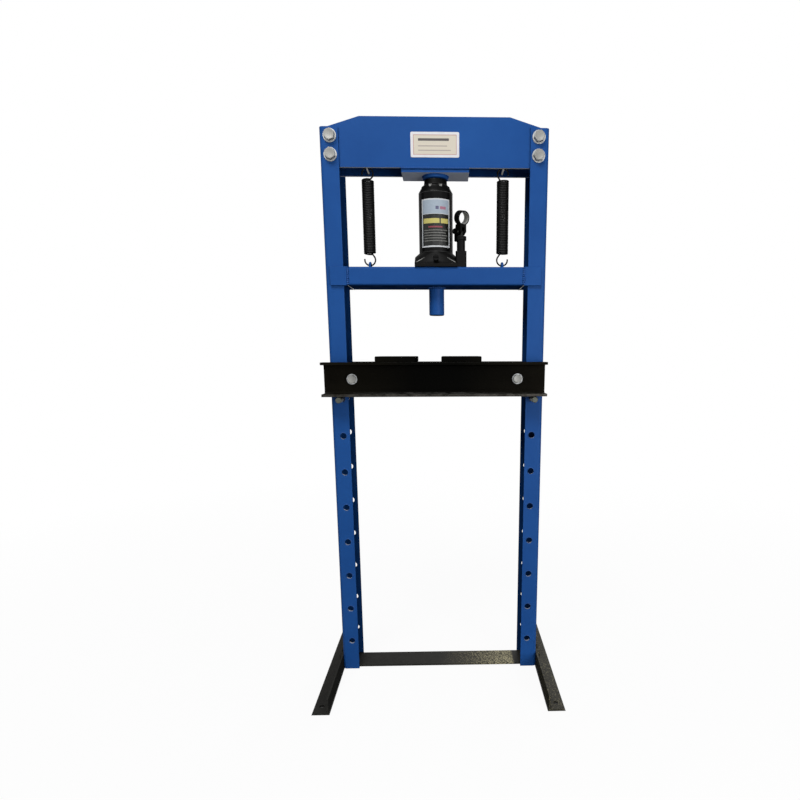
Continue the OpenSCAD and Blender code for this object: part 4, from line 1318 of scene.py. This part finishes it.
@dataclass(frozen=True)
class PressFrame:
    """Posts, feet, base tie and head."""

    post_round: float = 0.9
    head_round: float = 0.8
    foot_round: float = 0.7
    pin_x: float = 220.5
    pin_y: float = 40.0
    pin_top: float = 682.0
    pin_pitch: float = 86.5
    pin_rows: int = 8
    hole_r: float = 7.5
    hole_sides: int = 36
    rim_root: float = -0.3
    rim_w: float = 1.4
    rim_h: float = 0.45
    bore_r: float = 7.35
    bore_back: float = 7.7
    bore_span: Range = (-4.75, -0.25)
    seam_x: float = 73.5
    seam_y: float = 34.2
    seam_z: float = 1176.4
    ring_r: float = 28.6
    ring_z: float = 1167.7
    rod_x: float = 150.0
    rod_y: float = 28.8
    rod_z: float = 1182.0
    rod_r: float = 2.2

    def build(self, shop: Workshop) -> None:
        """Dresses the frame.

        Args:
            shop: Workshop that does the work.
        """
        plates = ("head_front_plate", "head_back_plate", "bearing_plate")
        feet = ("left_foot", "right_foot", "base_tie")
        for nodes, finish, slot, width in (
                (("left_post", "right_post"), Finish.BLUE, Slot.FRAME_PAINT, self.post_round),
                (("saddle_ring",), Finish.BLUE, Slot.FRAME_PAINT, self.head_round),
                (plates, Finish.PAD, Slot.FRAME_PAINT, self.head_round),
                (feet, Finish.FOOT, Slot.FOOT_PAINT, self.foot_round)):
            shop.dress(nodes, finish, Body.FRAME, slot, width)
        shop.paint(("left_spring_rod", "right_spring_rod"), Finish.ZINC)
        shop.paint(("nameplate",), Finish.PLATE)
        self._holes(shop)
        seams = [([(e * self.seam_x, s * self.seam_y, self.seam_z) for e in SIDES], False)
                 for s in SIDES]
        shop.weld("head", seams, Body.FRAME, width=4.6, pitch=3.6, Seed=2.0)
        rings = [ring((0.0, 0.0, self.ring_z), self.ring_r, WIDE_RING)]
        rings += [ring((s * self.rod_x, f * self.rod_y, self.rod_z), self.rod_r, SMALL_RING, True)
                  for s, f in CORNERS]
        shop.weld("ring", rings, Body.FRAME, width=2.4, pitch=2.6, Seed=4.0)

    def _holes(self, shop: Workshop) -> None:
        """Raises a thin painted burr round each pin hole and lines its bore.

        Args:
            shop: Workshop that does the work.
        """
        r, w, h, (deep, shallow) = self.hole_r, self.rim_w, self.rim_h, self.bore_span
        rim = [(r, self.rim_root), (r + 0.1, 0.55 * h), (r + 0.35 * w, h), (r + 0.7 * w, 0.5 * h),
               (r + w, -0.05), (r, self.rim_root)]
        lining = [(self.bore_back, shallow), (self.bore_r, shallow), (self.bore_r, deep),
                  (self.bore_back, deep), (self.bore_back, shallow)]
        places = [((s * self.pin_x, f * self.pin_y, self.pin_top - k * self.pin_pitch),
                   (-90.0 * f, 0.0, 0.0)) for s, f in CORNERS for k in range(self.pin_rows)]
        for name, rings, finish in (("pin_hole_rims", rim, Finish.WELD),
                                    ("pin_hole_bores", lining, Finish.SEAT)):
            mesh = lathe(f"{name}_pattern", [rings], self.hole_sides)
            piece = shop.row(name, mesh, places, finish, Sharp.RIM, spin=1.0, seed=5)
            shop.hand_over(piece, Body.FRAME, Slot.FRAME_PAINT)


@dataclass(frozen=True)
class PressBeam:
    """Sliding beam with its guide plates, press head and spring eyes."""

    edge_round: float = 0.8
    end_x: float = 195.0
    seam_y: float = 45.6
    seam_z: Range = (934.0, 971.0)
    press_r: float = 17.7
    press_z: float = 932.2
    cut_y: float = 45.0
    cut_z: float = 932.5
    cut_d: float = 1.8
    cut_sides: int = 10
    eye_x: float = 150.0
    eye_y: float = 8.0
    eye_z: float = 972.6
    eye_r: float = 3.3

    def build(self, shop: Workshop) -> None:
        """Dresses the beam.

        Args:
            shop: Workshop that does the work.
        """
        guides = [f"{side}_{face}_guide"
                  for side, face in product(("left", "right"), ("front", "back"))]
        shop.dress(["press_beam", *guides, "press_head"], Finish.BLUE, Body.BEAM, Slot.FRAME_PAINT,
                   self.edge_round)
        shop.paint(("left_spring_eye", "right_spring_eye"), Finish.BLUE)
        seams = [([(s * self.end_x, f * self.seam_y, z) for z in self.seam_z], False)
                 for s, f in CORNERS]
        seams.append(ring((0.0, 0.0, self.press_z), self.press_r, WIDE_RING))
        shop.weld("beam", seams, Body.BEAM, width=5.4, pitch=4.4, Ripple_Depth=0.3,
                  Unevenness=1.2, Seed=6.0)
        # Rods along the lower edges of the beam's cut ends: bare cut edges, drawn bright as painted
        # highlights
        ends = [([(s * self.end_x, f * self.cut_y, self.cut_z) for f in SIDES], False)
                for s in SIDES]
        edges = shop.wire("beam_cut_edges", ends, Finish.RUBBED, self.cut_d, self.cut_sides)
        shop.hand_over(edges, Body.BEAM, Slot.FRAME_PAINT)
        feet = [ring((s * self.eye_x, f * self.eye_y, self.eye_z), self.eye_r, SMALL_RING)
                for s, f in CORNERS]
        shop.weld("eye", feet, Body.BEAM, width=2.6, pitch=2.4, Seed=8.0)


@dataclass(frozen=True)
class ReturnSprings:
    """Two close-coiled springs with a hook at each end, stretched between the head and the beam."""

    x: float = 150.0
    mean_r: float = 12.05
    wire: float = 3.4
    pitch: float = 1.03
    top_hook: float = 1173.95
    low_hook: float = 992.85
    steps: int = 24
    sides: int = 12
    last_turn: float = 0.75
    dip: float = 40.0
    bow: float = 0.6
    bow_steps: int = 8
    hook_step: float = 5.0
    hook_steps: int = 46

    def _half(self) -> list[Vector]:
        """Winds the upper half of the wire.

        Returns:
            Points from the middle of the coil to the tip of the hook.
        """
        r, reach = self.mean_r, (self.top_hook - self.low_hook) / 2.0
        coil = reach - r - self.wire / 2.0
        wound = math.floor(coil / (self.wire * self.pitch) - self.last_turn) + self.last_turn
        count = round(wound * self.steps)
        angles = [TURN * wound * i / count for i in range(count + 1)]
        path = [Vector((r * math.cos(a), r * math.sin(a), coil * i / count))
                for i, a in enumerate(angles)]
        dip = math.radians(self.dip)
        hook, start = Vector((0.0, 0.0, reach)), path[-1]
        entry = hook + r * Vector((math.cos(dip), 0.0, -math.sin(dip)))
        first = start + Vector((self.bow * r, 0.0, 0.0))
        second = entry - self.bow * r * Vector((math.sin(dip), 0.0, math.cos(dip)))
        for i in range(1, self.bow_steps + 1):
            t = i / self.bow_steps
            u = 1.0 - t
            path.append(u ** 3 * start + 3 * u * u * t * first
                        + 3 * u * t * t * second + t ** 3 * entry)
        for k in range(1, self.hook_steps + 1):
            a = math.radians(self.hook_step * k - self.dip)
            path.append(hook + r * Vector((math.cos(a), 0.0, math.sin(a))))
        return path

    def build(self, shop: Workshop) -> None:
        """Winds both springs.

        Args:
            shop: Workshop that does the work.
        """
        half = self._half()
        wire = [Vector((p.x, -p.y, -p.z)) for p in reversed(half[1:])] + half
        middle = (self.top_hook + self.low_hook) / 2.0
        for side, name in zip(SIDES, ("left_spring", "right_spring")):
            path = [(side * (self.x - p.x), -side * p.y, middle + p.z) for p in wire]
            spring = shop.wire(f"{name}_wound", [(path, False)], Finish.SPRING, self.wire,
                               self.sides)
            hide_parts(name)
            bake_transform(spring)
            LOG.info("%-22s %6d faces between frame and press_beam", spring.name,
                     len(spring.data.polygons))


@dataclass(frozen=True)
class BottleJack:
    """Jack with its pump, lever, release valve and label."""

    base_round: float = 1.2
    base_angle: float = 16.0
    edge_round: float = 0.7
    corner: Point = (47.0, 50.0, 979.0)
    crown: Point = (0.0, 38.0, 1006.0)
    ridge_span: Range = (0.08, 0.48)
    ridge_d: float = 1.3
    ridge_sides: int = 8

    def build(self, shop: Workshop) -> None:
        """Dresses the jack, with rubbed steel wires from near each corner of its base to the crown as
        painted highlights along its ridges.

        Args:
            shop: Workshop that does the work.
        """
        low, high = (Vector(self.corner).lerp(Vector(self.crown), t) for t in self.ridge_span)
        lines = [([(s * p.x, f * p.y, p.z) for p in (low, high)], False) for s, f in CORNERS]
        ridges = shop.wire("base_ridges", lines, Finish.RUBBED, self.ridge_d, self.ridge_sides)
        shop.hand_over(ridges, Body.BEAM, Slot.JACK_PAINT)
        shop.dress(("jack_base",), Finish.CAST, Body.BEAM, Slot.JACK_PAINT, self.base_round,
                   self.base_angle)
        for nodes, finish, body in (
                (("top_nut",), Finish.NUT, Body.BEAM),
                (("pump_collar", "pump_cylinder", "oil_reservoir"), Finish.JACK, Body.BEAM),
                (("handle_socket",), Finish.LEVER, Body.LEVER)):
            shop.dress(nodes, finish, body, Slot.JACK_PAINT, self.edge_round)
        seals = ("lower_gasket", "upper_gasket", "ram_wiper", "ram_seal", "oil_plug",
                 "plunger_seal")
        for nodes, finish in (
                (("jack_label",), Finish.LABEL), (("jack_ram",), Finish.CHROME),
                (("release_valve",), Finish.JACK), (("pressure_cylinder",), Finish.STEEL),
                (("pump_plunger", "plunger_pin", "fulcrum_pin"), Finish.OILED),
                (seals, Finish.RUBBER)):
            shop.paint(nodes, finish)


@dataclass(frozen=True)
class PressBed:
    """Bed channels, press plates, spacers and the pins that carry the bed."""

    channel_round: float = 1.1
    plate_round: float = 0.5

    def build(self, shop: Workshop) -> None:
        """Dresses the bed and its pins.

        Args:
            shop: Workshop that does the work.
        """
        for nodes, width in ((("front_bed_channel", "back_bed_channel"), self.channel_round),
                             (("left_press_plate", "right_press_plate"), self.plate_round)):
            shop.dress(nodes, Finish.BED, Body.BED, Slot.BED_PAINT, width)
        shop.paint(("left_bed_spacer", "right_bed_spacer"), Finish.BED)
        shop.paint(("left_bed_pin", "right_bed_pin"), Finish.STEEL)


# Studio


@dataclass(frozen=True)
class SoftBox:
    """A large soft lamp aimed at a point."""

    name: str
    place: Point
    aim: Point
    size: Range
    watts: float

    def build(self) -> None:
        """Hangs the lamp."""
        lamp = bpy.data.lights.new(self.name, "AREA")
        lamp.shape = "RECTANGLE"
        lamp.size, lamp.size_y = self.size
        lamp.energy = self.watts
        obj = put_in_scene(self.name, lamp)
        obj.location = self.place
        ahead = Vector(self.aim) - Vector(self.place)
        obj.rotation_euler = ahead.to_track_quat("-Z", "Y").to_euler()


@dataclass(frozen=True)
class Studio:
    """Floor, lamps, world and camera."""

    eye: Point = (0.0212, -1.3755, 0.7821)
    yaw: float = 1.542
    pitch: float = 11.389
    roll: float = -0.097
    focal_px: float = 573.0
    axis_px: Range = (462.2, 469.9)
    image_px: float = 800.0
    sensor: float = 36.0
    floor_half: float = 9.0
    floor_z: float = -0.0006
    sky: Colour = (0.97, 0.985, 1.0)
    ambient: float = 0.12
    boxes: tuple[SoftBox, ...] = (
        SoftBox("key_box", (-0.55, -1.6, 2.85), (0.0, 0.0, 0.7), (1.5, 1.0), 48.0),
        SoftBox("front_box", (0.7, -3.5, 1.0), (0.05, 0.0, 0.5), (4.2, 2.4), 34.0),
        SoftBox("right_box", (1.3, -1.9, 0.6), (0.22, 0.0, 0.3), (0.9, 1.2), 18.0),
        SoftBox("back_box", (0.62, 2.3, 1.35), (0.0, 0.0, 0.4), (1.2, 1.2), 24.0),
    )

    def build(self, effects: Effects) -> None:
        """Sets the stage.

        Args:
            effects: Shared groups.
        """
        self._floor(effects)
        self._world()
        for box in self.boxes:
            box.build()
        self._camera()
        bpy.context.scene.view_settings.view_transform = "Standard"

    def _floor(self, effects: Effects) -> None:
        """Lays the floor just under the feet.

        Args:
            effects: Shared groups.
        """
        h, z = self.floor_half, self.floor_z
        mesh = bpy.data.meshes.new("floor")
        mesh.from_pydata([(-h, -h, z), (h, -h, z), (h, h, z), (-h, h, z)], [], [(0, 1, 2, 3)])
        mesh.materials.append(FloorFinish().build(effects))
        put_in_scene("floor", mesh)

    def _world(self) -> None:
        """Lights the room softly and shows it white behind the press."""
        world = bpy.data.worlds.new("studio")
        bpy.context.scene.world = world
        world.use_nodes = True
        g, nodes = Graph(world.node_tree), world.node_tree.nodes
        soft = nodes["Background"]
        g.fill(soft.inputs, Color=self.sky, Strength=self.ambient)
        white = g.add("ShaderNodeBackground", None, Color=(1.0, 1.0, 1.0), Strength=1.0)
        shown = g.mix(g.seen(), soft.outputs[0], white.outputs[0])
        g.fill(nodes["World Output"].inputs, Surface=shown)

    def _camera(self) -> None:
        """Puts the camera where the photograph was taken from."""
        camera = bpy.data.cameras.new("camera")
        camera.sensor_width = self.sensor
        camera.lens = self.focal_px / self.image_px * self.sensor
        camera.shift_x = (self.image_px / 2.0 - self.axis_px[0]) / self.image_px
        camera.shift_y = (self.axis_px[1] - self.image_px / 2.0) / self.image_px
        yaw, pitch = math.radians(self.yaw), math.radians(self.pitch)
        level = math.cos(pitch)
        ahead = Vector((math.sin(yaw) * level, math.cos(yaw) * level, -math.sin(pitch)))
        right = ahead.cross(Vector((0.0, 0.0, 1.0))).normalized()
        turn = Matrix((right, right.cross(ahead), -ahead)).transposed()
        turn = turn @ Matrix.Rotation(math.radians(self.roll), 3, "Z")
        obj = put_in_scene("camera", camera)
        obj.matrix_world = Matrix.Translation(self.eye) @ turn.to_4x4()
        bpy.context.scene.camera = obj


def main() -> None:
    """Dresses the press piece by piece and sets the stage."""
    shop = Workshop()
    for part in (PressFrame(), PressBeam(), ReturnSprings(), BottleJack(), PressBed(), *BOLT_SETS):
        part.build(shop)
    Studio().build(shop.effects)


if __name__ == "__main__":
    main()
